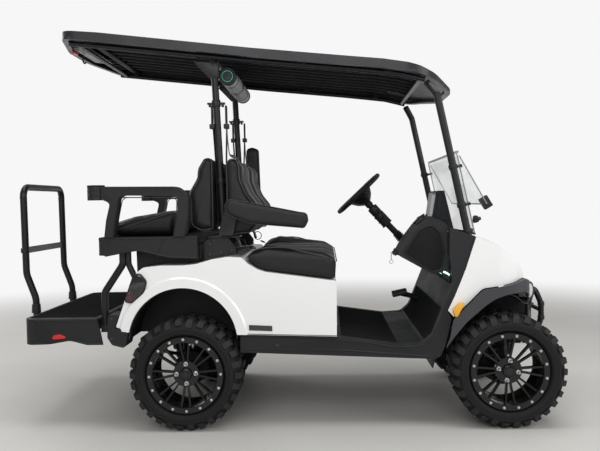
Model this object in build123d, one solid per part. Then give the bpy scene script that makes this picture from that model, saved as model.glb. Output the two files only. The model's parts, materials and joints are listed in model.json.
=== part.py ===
from build123d import *
import math
import os

# Four-seat electric golf cart with a rear-facing second seat. Millimetres, +X forward, +Y to the
# driver's (left) side, +Z up. All x values below count from the middle of the wheelbase; the
# finished pieces are shifted so that the origin lies on the ground under the middle of the box.

# ---- driving dimensions ------------------------------------------------------------------------
WHEELBASE = 1670.0
FRONT_AXLE_X = WHEELBASE / 2
REAR_AXLE_X = -WHEELBASE / 2
FRONT_TRACK = 988.0
REAR_TRACK = 1004.0

TYRE_R = 292.0
TYRE_W = 250.0
TYRE_WALL = 14.0
TREAD_DEPTH = 12.0
LUGS = 30
BORE_FACETS = 12
LUG_W = 34.0
LUG_L = 62.0
RIM_R = 178.0
RIM_W = 178.0
RIM_WALL = 7.0
RING_R = 199.0
HUB_R = 68.0
HUB_BACK = 45.0
HUB_FACE = 75.0
SPOKE_PAIRS = 8
AXLE_Z = TYRE_R

BODY_HALF = 575.0
PANEL = 6.0
FIT = 0.3
FLARE_HALF = 603.0
ARCH_LIP = 8.0
POD_DEPTH = 97.0
SILL_HALF = 560.0
FLOOR_T = 10.0

KINGPIN_Y = 430.0
STEER_ARM = 110.0
KINGPIN_R = 20.0
SPINDLE_R = 25.0

RAIL_IN = 145.0
RAIL_OUT = 195.0
RAIL_TOP = 405.0
RAIL_DEEP = 80.0
KICK_UP = 65.0

TUBE_R = 19.0
STRUT_FRONT_Y = 526.0
STRUT_REAR_Y = 420.0
ROOF_HALF = 555.0
ROOF_TOP = 2106.0
ROOF_LIP = 46.0
ROOF_SKIN = 6.0
RAIL_CLEAR = 30.0

SEAT_HALF = 558.0
BOLSTER_W = 128.0
BACK_HALF = 488.0
ARM_IN = 525.0
ARM_OUT = 583.0
ARM_PIVOT = (-590.0, 1141.0)
ARM_PIN_R = 10.0
REST_IN = 500.0
REST_OUT = 570.0
CUP_R = 38.0
CUP_DEPTH = 62.0
DECK_TOP = 1010.0
DECK_HALF = BODY_HALF - 15
DECK_FRONT_X = -764.0
FLIP_HINGE = (-1300.0, DECK_TOP + 14)
REST_GAP = 5.0
REAR_SEAT_HALF = 478.0
TRAY_TOP = 585.0
TRAY_FRONT_X = -1300.0
TRAY_REAR_X = -1702.0
TRAY_HALF = 560.0
GRAB_Y = 282.0
GRAB_FOOT_X = TRAY_REAR_X - 39
GRAB_REAR_X = GRAB_FOOT_X - 58
GUARD_FRONT_X = 1118.0
GUARD_R = 16.0
GUARD_Y = 185.0

WHEEL_CENTRE = (119.5, 300.0, 1226.0)
WHEEL_R = 180.0
WHEEL_GRIP_R = 14.0
COLUMN_ANGLE = 47.3
COLUMN_R = 20.0

ORIGIN_X = (GUARD_FRONT_X + GUARD_R + GRAB_REAR_X - TUBE_R) / 2


# ---- helpers -----------------------------------------------------------------------------------
def outline(rows):
    """Flat face from rows of (u, v, corner radius)."""
    points = [(u, v) for u, v, _ in rows]
    radii = [radius for _, _, radius in rows]
    return make_face(FilletPolyline(*points, radius=radii, close=True))


def side_solid(rows, y_low, y_high):
    """Prism across the cart from rows of (x, z, corner radius)."""
    return Pos(0, y_high, 0) * extrude(Plane.XZ * outline(rows), amount=y_high - y_low)


def plan_solid(rows, z_low, z_high):
    """Upright prism from rows of (x, y, corner radius)."""
    return Pos(0, 0, z_low) * extrude(outline(rows), amount=z_high - z_low)


def block(x_low, x_high, y_low, y_high, z_low, z_high):
    """Plain box between two corners."""
    size = (x_high - x_low, y_high - y_low, z_high - z_low)
    middle = ((x_low + x_high) / 2, (y_low + y_high) / 2, (z_low + z_high) / 2)
    return Pos(*middle) * Box(*size)


def rod(start, end, radius):
    """Round bar between two points."""
    line = Vector(*end) - Vector(*start)
    plane = Plane(origin=start, z_dir=line)
    return extrude(plane * Circle(radius), amount=line.length)


def tube(points, radius, bends):
    """Bent round tube: runs joined by tangent arcs, one bend radius for each inner point."""
    path = FilletPolyline(*points, radius=bends)
    section = Plane(origin=path @ 0, z_dir=path % 0) * Circle(radius)
    return sweep(section, path=path)


def mirrored(shape):
    """The same piece on the other side of the cart."""
    return mirror(shape, about=Plane.XZ)


def both(shape):
    """A piece and its mirror image."""
    return shape + mirrored(shape)


def inset_solid(rows, wall, y_low, y_high):
    """Prism across the cart from a side outline drawn in by a wall."""
    face = offset(outline(rows), amount=-wall)
    return Pos(0, y_high, 0) * extrude(Plane.XZ * face, amount=y_high - y_low)


def shell(rows, half, wall, open_below):
    """Hollow body across the cart from a side outline, its underside open."""
    outer = side_solid(rows, -half, half)
    inner = inset_solid(rows, wall, wall - half, half - wall)
    return outer - inner - Pos(0, 0, -open_below) * inner


def turned(rows, centre):
    """Solid of revolution about a cross-wise axis, from rows of (radius, y)."""
    face = Plane.XY * make_face(Polyline(*rows, close=True))
    return Pos(*centre) * revolve(face, axis=Axis.Y)


# ---- wheels ------------------------------------------------------------------------------------
def facets(rows, count):
    """Cross-wise ring of flat facets from rows of (radius, y), one facet facing the ground."""
    half_turn = math.pi / count
    rings = []
    for radius, y in rows:
        corner = radius / math.cos(half_turn)
        angles = [half_turn * (2 * step + 1) for step in range(count)]
        rings.append([(corner * math.sin(angle), y, corner * math.cos(angle)) for angle in angles])
    faces = [Face(Wire.make_polygon(ring)) for ring in (rings[0], rings[-1])]
    for low, high in zip(rings, rings[1:]):
        for step in range(count):
            after = (step + 1) % count
            faces.append(Face(Wire.make_polygon([low[step], low[after], high[after], high[step]])))
    return Solid(Shell(faces))


def tyre(centre):
    """Hollow tyre with a row of shoulder lugs on each side of its crown."""
    half = TYRE_W / 2
    bead = RIM_W / 2
    crown = TYRE_R - TREAD_DEPTH
    shoulder = half - 22
    carcass_rows = [
        (RING_R + 3, -bead),
        (RIM_R + 60, -half),
        (crown, -shoulder),
        (crown, shoulder),
        (RIM_R + 60, half),
        (RING_R + 3, bead),
    ]
    cavity_rows = [
        (RIM_R, TYRE_WALL - bead),
        (crown - TYRE_WALL - 6, -shoulder),
        (crown - TYRE_WALL - 6, shoulder),
        (RIM_R, bead - TYRE_WALL),
    ]
    bore_rows = [(RIM_R, -half), (RIM_R, half)]
    hollow = facets(cavity_rows, BORE_FACETS) + facets(bore_rows, BORE_FACETS)
    carcass = facets(carcass_rows, LUGS) - hollow
    lugs = []
    for side in (-1, 1):
        middle = (0, side * (shoulder - LUG_L / 2), TYRE_R - TREAD_DEPTH)
        lug = Pos(*middle) * Box(LUG_W, LUG_L, 2 * TREAD_DEPTH)
        for step in range(LUGS):
            lugs.append(Rot(0, 360 * step / LUGS, 0) * lug)
    return Pos(*centre) * (carcass + lugs)


def rim(centre, side):
    """Deep dished rim: barrel, outer ring, hub and pairs of thin spokes."""
    seat = RIM_R - FIT
    bead = RIM_W / 2
    ring_face = bead + 22
    inside = seat - RIM_WALL
    barrel_rows = [
        (seat, -bead),
        (seat, bead + FIT),
        (RING_R, bead + FIT),
        (RING_R, ring_face),
        (inside, ring_face),
        (inside, -bead - 8),
        (seat + 10, -bead - 8),
        (seat + 10, -bead - 2),
        (seat, -bead - 2),
    ]
    barrel = turned([(r, side * y) for r, y in barrel_rows], centre)
    hub_rows = [
        (SPINDLE_R + FIT, HUB_BACK),
        (HUB_R, HUB_BACK),
        (HUB_R, HUB_FACE),
        (SPINDLE_R + FIT, HUB_FACE),
    ]
    hub = turned([(r, side * y) for r, y in hub_rows], centre)
    spoke_rows = [
        (HUB_R - 6, HUB_FACE - 22, 0),
        (HUB_R - 6, HUB_FACE - 2, 0),
        (inside - 14, ring_face - 12, 0),
        (inside + 3, ring_face - 12, 0),
        (inside + 3, ring_face - 34, 0),
    ]
    spoke_face = outline([(r, side * y, q) for r, y, q in spoke_rows])
    spoke = Pos(0, 0, -5) * extrude(spoke_face, amount=10)
    spokes = []
    for pair in range(SPOKE_PAIRS):
        for lean in (-8, 8):
            angle = 360 * pair / SPOKE_PAIRS + lean
            spokes.append(Pos(*centre) * Rot(0, angle, 0) * spoke)
    return barrel + hub + spokes


WHEELS = [
    # name, x, half track, side
    ("front_left", FRONT_AXLE_X, FRONT_TRACK / 2, 1),
    ("front_right", FRONT_AXLE_X, FRONT_TRACK / 2, -1),
    ("rear_left", REAR_AXLE_X, REAR_TRACK / 2, 1),
    ("rear_right", REAR_AXLE_X, REAR_TRACK / 2, -1),
]


# ---- front suspension and steering ----------------------------------------------------------------
ARM_LOW_Z = AXLE_Z - 88.0
ARM_HIGH_Z = AXLE_Z + 92.0
ARM_T = 24.0
TOWER_Z = 600.0
TOWER_CAP = 40.0
TIE_Z = AXLE_Z - 35.0


def knuckle(side):
    """Kingpin, spindle and rear-facing steering arm; built on the left, mirrored for the right."""
    x = FRONT_AXLE_X
    hub_end = FRONT_TRACK / 2 + HUB_FACE
    low = ARM_LOW_Z + ARM_T / 2 + 0.5
    high = ARM_HIGH_Z - ARM_T / 2 - 0.5
    kingpin = Pos(x, KINGPIN_Y, (low + high) / 2) * Cylinder(KINGPIN_R, high - low)
    body = block(x - 30, x + 30, KINGPIN_Y - 22, KINGPIN_Y + 40, AXLE_Z - 45, AXLE_Z + 45)
    spindle = rod((x, KINGPIN_Y, AXLE_Z), (x, hub_end, AXLE_Z), SPINDLE_R)
    arm_rows = [
        (x, KINGPIN_Y - 16, 0),
        (x, KINGPIN_Y + 16, 0),
        (x - STEER_ARM - 18, KINGPIN_Y + 16, 14),
        (x - STEER_ARM - 18, KINGPIN_Y - 16, 14),
    ]
    arm = plan_solid(arm_rows, TIE_Z + 12, TIE_Z + 26)
    piece = kingpin + body + spindle + arm
    return piece if side > 0 else mirrored(piece)


def tie_rod():
    """Cross rod with an eye under each steering arm."""
    x = FRONT_AXLE_X - STEER_ARM
    bar = rod((x, -KINGPIN_Y, TIE_Z), (x, KINGPIN_Y, TIE_Z), 9)
    eye = Pos(x, KINGPIN_Y, TIE_Z) * Cylinder(15, 22)
    return bar + both(eye)


def suspension():
    """Front cross-member, arms and coil-over shocks, and the rear leaf springs."""
    x = FRONT_AXLE_X
    low = ARM_LOW_Z - ARM_T / 2
    member = block(x - 85, x + 85, -RAIL_OUT + 5, RAIL_OUT - 5, low, RAIL_TOP - RAIL_DEEP)
    lower_rows = [
        (x - 80, RAIL_OUT - 5, 0),
        (x + 80, RAIL_OUT - 5, 0),
        (x + 24, KINGPIN_Y + 24, 23),
        (x - 24, KINGPIN_Y + 24, 23),
    ]
    lower = plan_solid(lower_rows, low, low + ARM_T)
    upper_rows = [
        (x + 12, RAIL_OUT, 0),
        (x + 60, RAIL_OUT, 0),
        (x + 24, KINGPIN_Y + 24, 23),
        (x - 24, KINGPIN_Y + 24, 23),
    ]
    upper_low = ARM_HIGH_Z - ARM_T / 2
    upper = plan_solid(upper_rows, upper_low, upper_low + ARM_T)
    shock_x = x - 23
    foot = (shock_x, 322, low + ARM_T)
    head = (shock_x, 250, TOWER_Z)
    shock = rod(foot, head, 21) - block(x - 90, x + 90, 200, 400, TOWER_Z, TOWER_Z + TOWER_CAP + 20)
    springs = rear_spring()
    return member + both(lower) + both(upper) + both(shock) + springs


SPRING_Y = 290.0
SPRING_W = 45.0
SHOCK_REAR_X = REAR_AXLE_X - 60


def rear_spring():
    """Leaf springs over the rear axle and the two rear shocks."""
    x = REAR_AXLE_X
    saddle = AXLE_Z + 38
    rows = [
        (x - 285, saddle + 40, 0),
        (x - 285, saddle + 52, 0),
        (x - 120, saddle + 14, 60),
        (x + 120, saddle + 14, 60),
        (x + 285, saddle + 52, 0),
        (x + 285, saddle + 40, 0),
        (x + 90, saddle, 60),
        (x - 90, saddle, 60),
    ]
    leaf = side_solid(rows, SPRING_Y - SPRING_W / 2, SPRING_Y + SPRING_W / 2)
    shock = rod((SHOCK_REAR_X, 240, AXLE_Z + 60), (SHOCK_REAR_X, 240, TOWER_Z), 22)
    return both(leaf) + both(shock)


def rear_axle():
    """Axle tube with differential, brake drums and the drive motor."""
    x = REAR_AXLE_X
    hub_end = REAR_TRACK / 2 + HUB_FACE
    shaft = rod((x, -hub_end, AXLE_Z), (x, hub_end, AXLE_Z), SPINDLE_R)
    casing = rod((x, -370, AXLE_Z), (x, 370, AXLE_Z), 37.5)
    drum = rod((x, 385, AXLE_Z), (x, 440, AXLE_Z), 90)
    neck = rod((x, 365, AXLE_Z), (x, 390, AXLE_Z), 45)
    housing = Pos(x + 20, 45, AXLE_Z) * Rot(90, 0, 0) * Cylinder(92, 110)
    gearbox = block(x, x + 190, -10, 100, AXLE_Z - 75, AXLE_Z + 75)
    motor = rod((x + 150, -240, AXLE_Z), (x + 150, 0, AXLE_Z), 84)
    pads = both(block(x - 40, x + 40, SPRING_Y - 30, SPRING_Y + 30, AXLE_Z + 20, AXLE_Z + 38 - FIT))
    lugs = both(block(x - 85, x, 225, 255, AXLE_Z - 10, AXLE_Z + 60 - FIT))
    return shaft + casing + both(drum) + both(neck) + housing + gearbox + motor + pads + lugs


# ---- frame -------------------------------------------------------------------------------------
def frame_rails():
    """Ladder frame with a kick-up over the rear axle."""
    top = RAIL_TOP
    low = RAIL_TOP - RAIL_DEEP
    cap_top = TOWER_Z + TOWER_CAP
    rows = [
        (-1130, low + KICK_UP, 0),
        (-1130, top + KICK_UP, 0),
        (-640, top + KICK_UP, 40),
        (-520, top, 40),
        (930, top, 0),
        (930, low, 0),
        (-540, low, 40),
        (-660, low + KICK_UP, 40),
    ]
    rails = both(side_solid(rows, RAIL_IN, RAIL_OUT))
    members = []
    # x, half width, lowest z, highest z
    for x, half, z_low, z_high in (
        (-1115, 325, low + KICK_UP, low + KICK_UP + 45),
        (-560, 325, AXLE_Z + 90, low + 88),
        (-60, RAIL_IN + 5, low + 10, top - 10),
        (430, RAIL_IN + 5, low + 10, top - 10),
        (890, RAIL_IN + 5, low + 10, top - 10),
    ):
        members.append(block(x - 25, x + 25, -half, half, z_low, z_high))
    tower = block(785, 840, RAIL_IN + 10, RAIL_OUT, top - 5, cap_top)
    cap = block(785, 840, RAIL_IN + 10, RAIL_OUT + 80, TOWER_Z, cap_top)
    hoop_x = SHOCK_REAR_X
    post = block(hoop_x - 25, hoop_x + 25, RAIL_IN, RAIL_OUT, top + KICK_UP - 5, cap_top)
    hoop = block(hoop_x - 25, hoop_x + 25, -320, 320, TOWER_Z, cap_top)
    hanger = block(-1140, -1090, 268, 312, AXLE_Z + 90, low + KICK_UP + 5)
    return rails + members + both(tower) + both(cap) + both(post) + hoop + both(hanger)


# ---- floor, sills and cowl sides ------------------------------------------------------------------
FLOOR_LINE = [
    # x, z of the floor's walking surface, from the seat front to the top of the toe board
    (-36, 472),
    (280, 428),
    (400, 434),
    (452, 480),
    (516, 635),
    (556, 735),
]


def floor_pan():
    """Floor with sills, toe board and the dark cowl sides, one moulding."""
    under = [(x, z - FLOOR_T) for x, z in reversed(FLOOR_LINE)]
    pan_rows = [(x, z, 0) for x, z in FLOOR_LINE + under]
    pan = side_solid(pan_rows, -SILL_HALF + 20, SILL_HALF - 20)
    sill_rows = [
        (-550, 398, 8),
        (-548, 492, 0),
        (-48, 476, 0),
        (-36, 472, 0),
        (280, 428, 60),
        (400, 436, 60),
        (452, 482, 60),
        (516, 637, 60),
        (556, 735, 0),
        (542, 890, 0),
        (545, 1033, 10),
        (600, 1012, 0),
        (676, 986, 6),
        (619, 812, 200),
        (566, 684, 200),
        (528, 603, 0),
        (549, 560, 0),
        (514, 423, 0),
        (490, 366, 30),
        (457, 353, 12),
    ]
    sill = side_solid(sill_rows, SILL_HALF - 45, SILL_HALF)
    (x0, z0), (x1, z1) = STRUT_FRONT
    socket = rod((x0, STRUT_FRONT_Y, z0), (x1, STRUT_FRONT_Y, z1), TUBE_R + FIT)
    return pan + both(sill - socket)


# ---- white rear body -------------------------------------------------------------------------------
SEAT_LINE = [
    # x, z of the body's edge under the front cushion
    (-41, 768),
    (-90, 774),
    (-410, 820),
    (-452, 834),
    (-520, 886),
]
ARCH_REAR = (-848.0, 455.0, 288.0)
ARCH_LIP_W = 57.0
BODY_ROWS = [
    (-45, 479, 0),
    (-41, 768, 12),
    (-90, 774, 0),
    (-410, 820, 60),
    (-452, 834, 60),
    (-500, 864, 20),
    (-534, 897, 16),
    (-603, 901, 60),
    (-687, 889, 60),
    (-771, 866, 60),
    (-838, 860, 60),
    (-958, 861, 0),
    (-1047, 852, 30),
    (-1079, 829, 30),
    (-1120, 770, 0),
    (-1156, 660, 60),
    (-1199, 541, 8),
    (-1170, 533, 0),
    (-1168, 520, 0),
    (-1132, 514, 0),
    (-547, 495, 0),
]
TAIL_ROWS = [
    (-1150, 672, 12),
    (-1125, 746, 40),
    (-1105, 800, 20),
    (-1068, 832, 25),
    (-1026, 780, 30),
    (-1043, 722, 40),
    (-1108, 666, 14),
]


def rear_body():
    """White shell under the seats: sides, top, front and tail, hollow and open below."""
    body = shell(BODY_ROWS, BODY_HALF, PANEL, 60)
    x, z, radius = ARCH_REAR
    face = BODY_HALF + ARCH_LIP
    lip_rows = [
        (radius - 10, BODY_HALF - 1),
        (radius + ARCH_LIP_W, BODY_HALF - 1),
        (radius + ARCH_LIP_W - 10, face),
        (radius - 10, face),
    ]
    lip = turned(lip_rows, (x, 0, z)) & side_solid(BODY_ROWS, BODY_HALF - 2, face)
    arch = Pos(x, 0, z) * Rot(90, 0, 0) * Cylinder(radius, 3 * BODY_HALF)
    pods = both(side_solid(TAIL_ROWS, BODY_HALF - POD_DEPTH - 2, face + 20))
    return body + both(lip) - arch - pods


def taillights():
    """Lamp pods let into the tail corners."""
    pod = side_solid(TAIL_ROWS, BODY_HALF - POD_DEPTH, BODY_HALF + ARCH_LIP)
    return both(pod)


def rear_bumper():
    """Dark corner pieces under the tail."""
    rows = [
        (-1240, 606, 8),
        (-1180, 606, 0),
        (-1206, 541, 0),
        (-1203, 535, 0),
        (-1174, 529, 0),
        (-1172, 516, 0),
        (-1136, 510, 0),
        (-1155, 430, 14),
        (-1222, 448, 20),
        (-1246, 487, 20),
    ]
    corner = side_solid(rows, BODY_HALF - 135, BODY_HALF + 2)
    hollow = inset_solid(rows, PANEL, BODY_HALF - 140, BODY_HALF - PANEL)
    return both(corner - hollow)


# ---- front cowl and fascia ---------------------------------------------------------------------
HOOD_TOP = [
    # x, z, corner radius of the hood's outline at the cart's side
    (300, 500, 0),
    (300, 1040, 0),
    (620, 992, 60),
    (687, 981, 60),
    (775, 944, 200),
    (854, 878, 60),
    (886, 845, 60),
    (915, 803, 60),
    (924, 760, 0),
    (924, 500, 0),
]
HOOD_EDGE = [
    # x, z, corner radius of the hood's rear and lower edges
    (529, 606, 0),
    (567, 684, 200),
    (620, 811, 200),
    (679, 987, 0),
    (690, 1100, 0),
    (1200, 1100, 0),
    (1200, 665, 0),
    (940, 757, 0),
    (786, 727, 0),
    (706, 717, 60),
    (640, 650, 0),
    (558, 572, 0),
]
HOOD_LEAN = (0.23, 1.0, -0.05)
HOOD_FLAT = 120.0
HOOD_PLAN = [
    (450, -BODY_HALF + 4, 0),
    (860, -BODY_HALF + 10, 150),
    (950, -440, 60),
    (1040, -120, 60),
    (1040, 120, 60),
    (950, 440, 60),
    (860, BODY_HALF - 10, 150),
    (450, BODY_HALF - 4, 0),
]
ARCH_FRONT = [
    (430, 250, 0),
    (478, 295, 0),
    (520, 428, 0),
    (562, 484, 60),
    (618, 550, 100),
    (700, 621, 100),
    (761, 666, 200),
    (836, 690, 200),
    (937, 694, 60),
    (1000, 640, 60),
    (1080, 606, 60),
    (1200, 600, 0),
    (1200, 250, 0),
]


def hood_form(wall):
    """Hood outline swept forward and down toward the cart's middle, drawn in by a wall."""
    face = outline(HOOD_TOP)
    plan = outline(HOOD_PLAN)
    if wall > 0:
        face = offset(face, amount=-wall)
        plan = offset(plan, amount=-wall)
    reach = BODY_HALF - HOOD_FLAT
    lean_x, _, lean_z = HOOD_LEAN
    length = reach * Vector(*HOOD_LEAN).length
    side = Pos(0, -BODY_HALF, 0) * extrude(Plane.XZ * face, amount=length, dir=HOOD_LEAN)
    middle = Pos(lean_x * reach, HOOD_FLAT, lean_z * reach)
    middle = middle * extrude(Plane.XZ * face, amount=2 * HOOD_FLAT)
    form = both(side) + middle
    return form & (Pos(0, 0, 480) * extrude(plan, amount=700))


def front_cowl():
    """White hood and front sides, hollow and open below."""
    edge = side_solid(HOOD_EDGE, -BODY_HALF, BODY_HALF)
    return (hood_form(0) & edge) - hood_form(PANEL)


FASCIA_ROWS = [
    (512, 420, 6),
    (532, 470, 0),
    (549, 556, 0),
    (554, 568, 0),
    (636, 646, 0),
    (704, 715, 60),
    (786, 725, 0),
    (940, 755, 0),
    (1040, 719, 10),
    (1055, 640, 40),
    (1085, 560, 40),
    (1080, 470, 20),
    (1035, 452, 0),
    (900, 300, 0),
]
FASCIA_PLAN = [
    (440, -FLARE_HALF, 0),
    (850, -FLARE_HALF, 120),
    (965, -500, 120),
    (1035, -230, 100),
    (1086, -110, 60),
    (1086, 110, 60),
    (1035, 230, 100),
    (965, 500, 120),
    (850, FLARE_HALF, 120),
    (440, FLARE_HALF, 0),
]
HEADLIGHTS = (986.0, 425.0, 686.0)
LAMP_TOE = 38.0
LAMP_R = 38.0


def headlight_body(radius, length):
    """Lamp axis turned outward from straight ahead."""
    x, y, z = HEADLIGHTS
    toe = Vector(math.cos(math.radians(LAMP_TOE)), math.sin(math.radians(LAMP_TOE)), 0)
    start = Vector(x, y, z) - toe * length
    return rod(tuple(start), (x, y, z), radius)


def front_fascia():
    """Dark flares, nose and bumper in one moulding, hollow behind."""
    outer = side_solid(FASCIA_ROWS, -FLARE_HALF, FLARE_HALF) & plan_solid(FASCIA_PLAN, 200, 800)
    arch = side_solid(ARCH_FRONT, 240, 700)
    inner_plan = offset(outline(FASCIA_PLAN), amount=-PANEL)
    core = inset_solid(FASCIA_ROWS, PANEL, -FLARE_HALF, FLARE_HALF)
    core = core & (Pos(0, 0, 200) * extrude(inner_plan, amount=700))
    behind = block(300, 1020, -BODY_HALF + 12, BODY_HALF - 12, 200, 600)
    body = outer - both(arch) - core - behind - Pos(-60, 0, 0) * core
    body = body - block(300, 700, -BODY_HALF - FIT, BODY_HALF + FIT, 200, 800)
    body = body - both(headlight_body(LAMP_R + FIT, 80))
    return body


def headlights():
    """Round lamps in the nose corners."""
    return both(headlight_body(LAMP_R, 50))


# ---- dash --------------------------------------------------------------------------------------
DASH_FRONT = [(541, 1040, 0), (538, 890, 0), (552, 742, 0), (501, 798, 20)]
DASH_POD = [(283, 890, 16), (321, 958, 60), (389, 1046, 60), (437, 1087, 30), (504, 1074, 30)] + DASH_FRONT
DASH_POD = DASH_POD + [(459, 788, 20), (397, 825, 60)]
DASH_MIDDLE = [(355, 890, 16), (393, 958, 60), (452, 1040, 60), (478, 1082, 20), (504, 1074, 20)] + DASH_FRONT
DASH_MIDDLE = DASH_MIDDLE + [(459, 788, 20), (425, 812, 40)]
DASH_DRIVER = [(408, 885, 12), (446, 958, 40), (514, 1040, 10)] + DASH_FRONT + [(459, 790, 20)]
DASH_HALF = SILL_HALF - 45 - FIT
POD_IN = -250.0
DRIVER_IN = 150.0


def column_line(distance):
    """Point on the steering axis, this far below the wheel's middle."""
    x, y, z = WHEEL_CENTRE
    angle = math.radians(COLUMN_ANGLE)
    return (x + distance * math.cos(angle), y, z - distance * math.sin(angle))


def dash():
    """Hollow dashboard with a cowl shelf that reaches the windshield's foot."""
    skin = 8.0
    outer = side_solid(DASH_POD, -DASH_HALF, POD_IN)
    outer = outer + side_solid(DASH_MIDDLE, POD_IN, DRIVER_IN) + side_solid(DASH_DRIVER, DRIVER_IN, DASH_HALF)
    inner = inset_solid(DASH_POD, skin, skin - DASH_HALF, POD_IN - skin)
    inner = inner + inset_solid(DASH_MIDDLE, skin, POD_IN - skin, DRIVER_IN - skin)
    inner = inner + inset_solid(DASH_DRIVER, skin, DRIVER_IN - skin, DASH_HALF - skin)
    shelf_rows = [
        (532, 1040, 0),
        (541, 1040, 0),
        (600, 1013, 0),
        (670, 992, 0),
        (668, 984, 0),
        (598, 1003, 0),
        (532, 1028, 0),
    ]
    shelf = side_solid(shelf_rows, -500, 500)
    bore = rod(column_line(300), column_line(520), COLUMN_R + FIT)
    return outer - inner + shelf - bore


def dash_display():
    """Screen housing that stands on the middle of the dash."""
    rows = [
        (519, 1060, 0),
        (546, 1229, 8),
        (588, 1229, 8),
        (640, 1001.5, 0),
        (600, 1013.5, 0),
        (541, 1040.5, 0),
    ]
    body = side_solid(rows, -150, 150)
    return body - side_solid(DASH_MIDDLE, -160, 160)


def steering_column():
    """Column tube with the stalk housing."""
    column = rod(column_line(108.5), column_line(500), COLUMN_R)
    cover = rod(column_line(180), column_line(270), 34)
    return column + cover


def steering_wheel():
    """Rim, three spokes and hub about the column's axis."""
    hub_depth = 108.0
    ring = Torus(WHEEL_R - WHEEL_GRIP_R, WHEEL_GRIP_R)
    hub = Pos(0, 0, -28) * Cylinder(52, 40)
    boss = Pos(0, 0, -hub_depth / 2 - 14) * Cylinder(24, hub_depth - 28)
    spoke = Pos((WHEEL_R - WHEEL_GRIP_R) / 2, 0, -16) * Rot(0, -8, 0) * Box(WHEEL_R - 24, 34, 9)
    spokes = [Rot(0, 0, angle) * spoke for angle in (0, 90, 180)]
    plane = Plane(
        origin=WHEEL_CENTRE,
        x_dir=(0, 1, 0),
        z_dir=(-math.cos(math.radians(COLUMN_ANGLE)), 0, math.sin(math.radians(COLUMN_ANGLE))),
    )
    return plane * (ring + hub + boss + spokes)


def pedals():
    """Brake and accelerator pads on their arms, ahead of the driver."""
    pads = []
    # y, pad half width, x, z
    for y, half, x, z in ((250, 45, 368, 585), (370, 32, 376, 588)):
        pad = Pos(x, y, z) * Rot(0, -12, 0) * Box(95, 2 * half, 10)
        arm = rod((x + 10, y, z - 4), (500, y, 552), 9)
        pads.append(pad + arm)
    wall = side_solid([(x, z, 0) for x, z in ((452, 480), (516, 635), (556, 735), (700, 735), (700, 480))],
                      150, 450)
    return (pads[0] + pads[1]) - wall


# ---- front guard -------------------------------------------------------------------------------
def front_guard():
    """Bent hoop ahead of the nose, bolted to the rail ends, with two inner bars."""
    x = GUARD_FRONT_X
    z = RAIL_TOP - 35
    run = [
        (930, -GUARD_Y, z),
        (x - 40, -GUARD_Y, z),
        (x, -GUARD_Y, z + 130),
        (x, -GUARD_Y, z + 210),
        (x - 30, -GUARD_Y, z + 285),
        (x - 30, GUARD_Y, z + 285),
        (x, GUARD_Y, z + 210),
        (x, GUARD_Y, z + 130),
        (x - 40, GUARD_Y, z),
        (930, GUARD_Y, z),
    ]
    hoop = tube(run, GUARD_R, [60, 60, 60, 30, 30, 60, 60, 60])
    cross = rod((x, -GUARD_Y, z + 170), (x, GUARD_Y, z + 170), 12)
    return hoop + cross


# ---- roof and its struts -------------------------------------------------------------------------
ROOF_TABLE = [
    # x, fall of the upper edge below its rear end, depth of the lip
    (-1565, 0, 40),
    (-1268, 26, ROOF_LIP),
    (-467, 127, ROOF_LIP),
    (59, 184, ROOF_LIP),
    (215, 200, ROOF_LIP),
    (343, 221, ROOF_LIP),
    (408, 237, 42),
    (463, 258, 36),
    (530, 280, 28),
    (600, 305, 22),
    (630, 316, 20),
]
ROOF_LINE = [(x, ROOF_TOP - fall) for x, fall, _ in ROOF_TABLE]


def roof_drop(depth):
    """The roof line lowered by a depth."""
    return [(x, z - depth) for x, z in ROOF_LINE]


def roof_height(x, depth):
    """Height of the lowered roof line at x."""
    line = roof_drop(depth)
    for (x0, z0), (x1, z1) in zip(line, line[1:]):
        if x <= x1:
            break
    return z0 + (z1 - z0) * (x - x0) / (x1 - x0)


def roof():
    """Moulded canopy: thin skin with a deeper lip all round and rounded corners."""
    under = [(x, ROOF_TOP - fall - lip) for x, fall, lip in reversed(ROOF_TABLE)]
    band = [(x, z, 0) for x, z in ROOF_LINE + under]
    slab = side_solid(band, -ROOF_HALF, ROOF_HALF)
    rear = ROOF_LINE[0][0] + 5
    front = ROOF_LINE[-1][0] - 5
    half_plan = [
        (rear, 150, 260),
        (rear + 105, ROOF_HALF, 90),
        (front - 170, ROOF_HALF, 200),
        (front, 200, 260),
    ]
    plan = half_plan + [(x, -y, radius) for x, y, radius in reversed(half_plan)]
    lowest = ROOF_LINE[-1][1] - 150
    slab = slab & plan_solid(plan, lowest, ROOF_LINE[0][1] + 50)
    rim_width = 30
    low = [(x, z, 0) for x, z in roof_drop(ROOF_SKIN) + list(reversed(roof_drop(2 * ROOF_LIP)))]
    well = side_solid(low, -ROOF_HALF, ROOF_HALF)
    inner_plan = offset(outline(plan), amount=-rim_width)
    well = well & (Pos(0, 0, lowest) * extrude(inner_plan, amount=600))
    return slab - well


FRAME_TUBE_R = 13.0
RAIL_DROP = ROOF_SKIN + FRAME_TUBE_R + RAIL_CLEAR
STRUT_FRONT = ((646.0, 984.0), (493.0, 1720.0))
STRUT_REAR_X = -678.0
STRUT_REAR = ((-636.0, 904.0), (-649.0, 1197.0), (STRUT_REAR_X, roof_height(STRUT_REAR_X, RAIL_DROP)))
ROOF_RAIL_Y = 468.0


def roof_rails():
    """Two long tubes under the canopy with the pads that it is bolted to."""
    y = ROOF_RAIL_Y
    stations = (-1440, -467, 59, 310, 440)
    run = [(x, y, roof_height(x, RAIL_DROP)) for x in stations]
    rail = tube(run, FRAME_TUBE_R, [200, 200, 200])
    pads = []
    for x in (-1340, -200, 250):
        low = roof_height(x + 20, RAIL_DROP)
        top = roof_height(x + 20, ROOF_SKIN)
        pads.append(block(x - 20, x + 20, y - 15, y + 15, low, top))
    return both(rail + pads)


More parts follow.
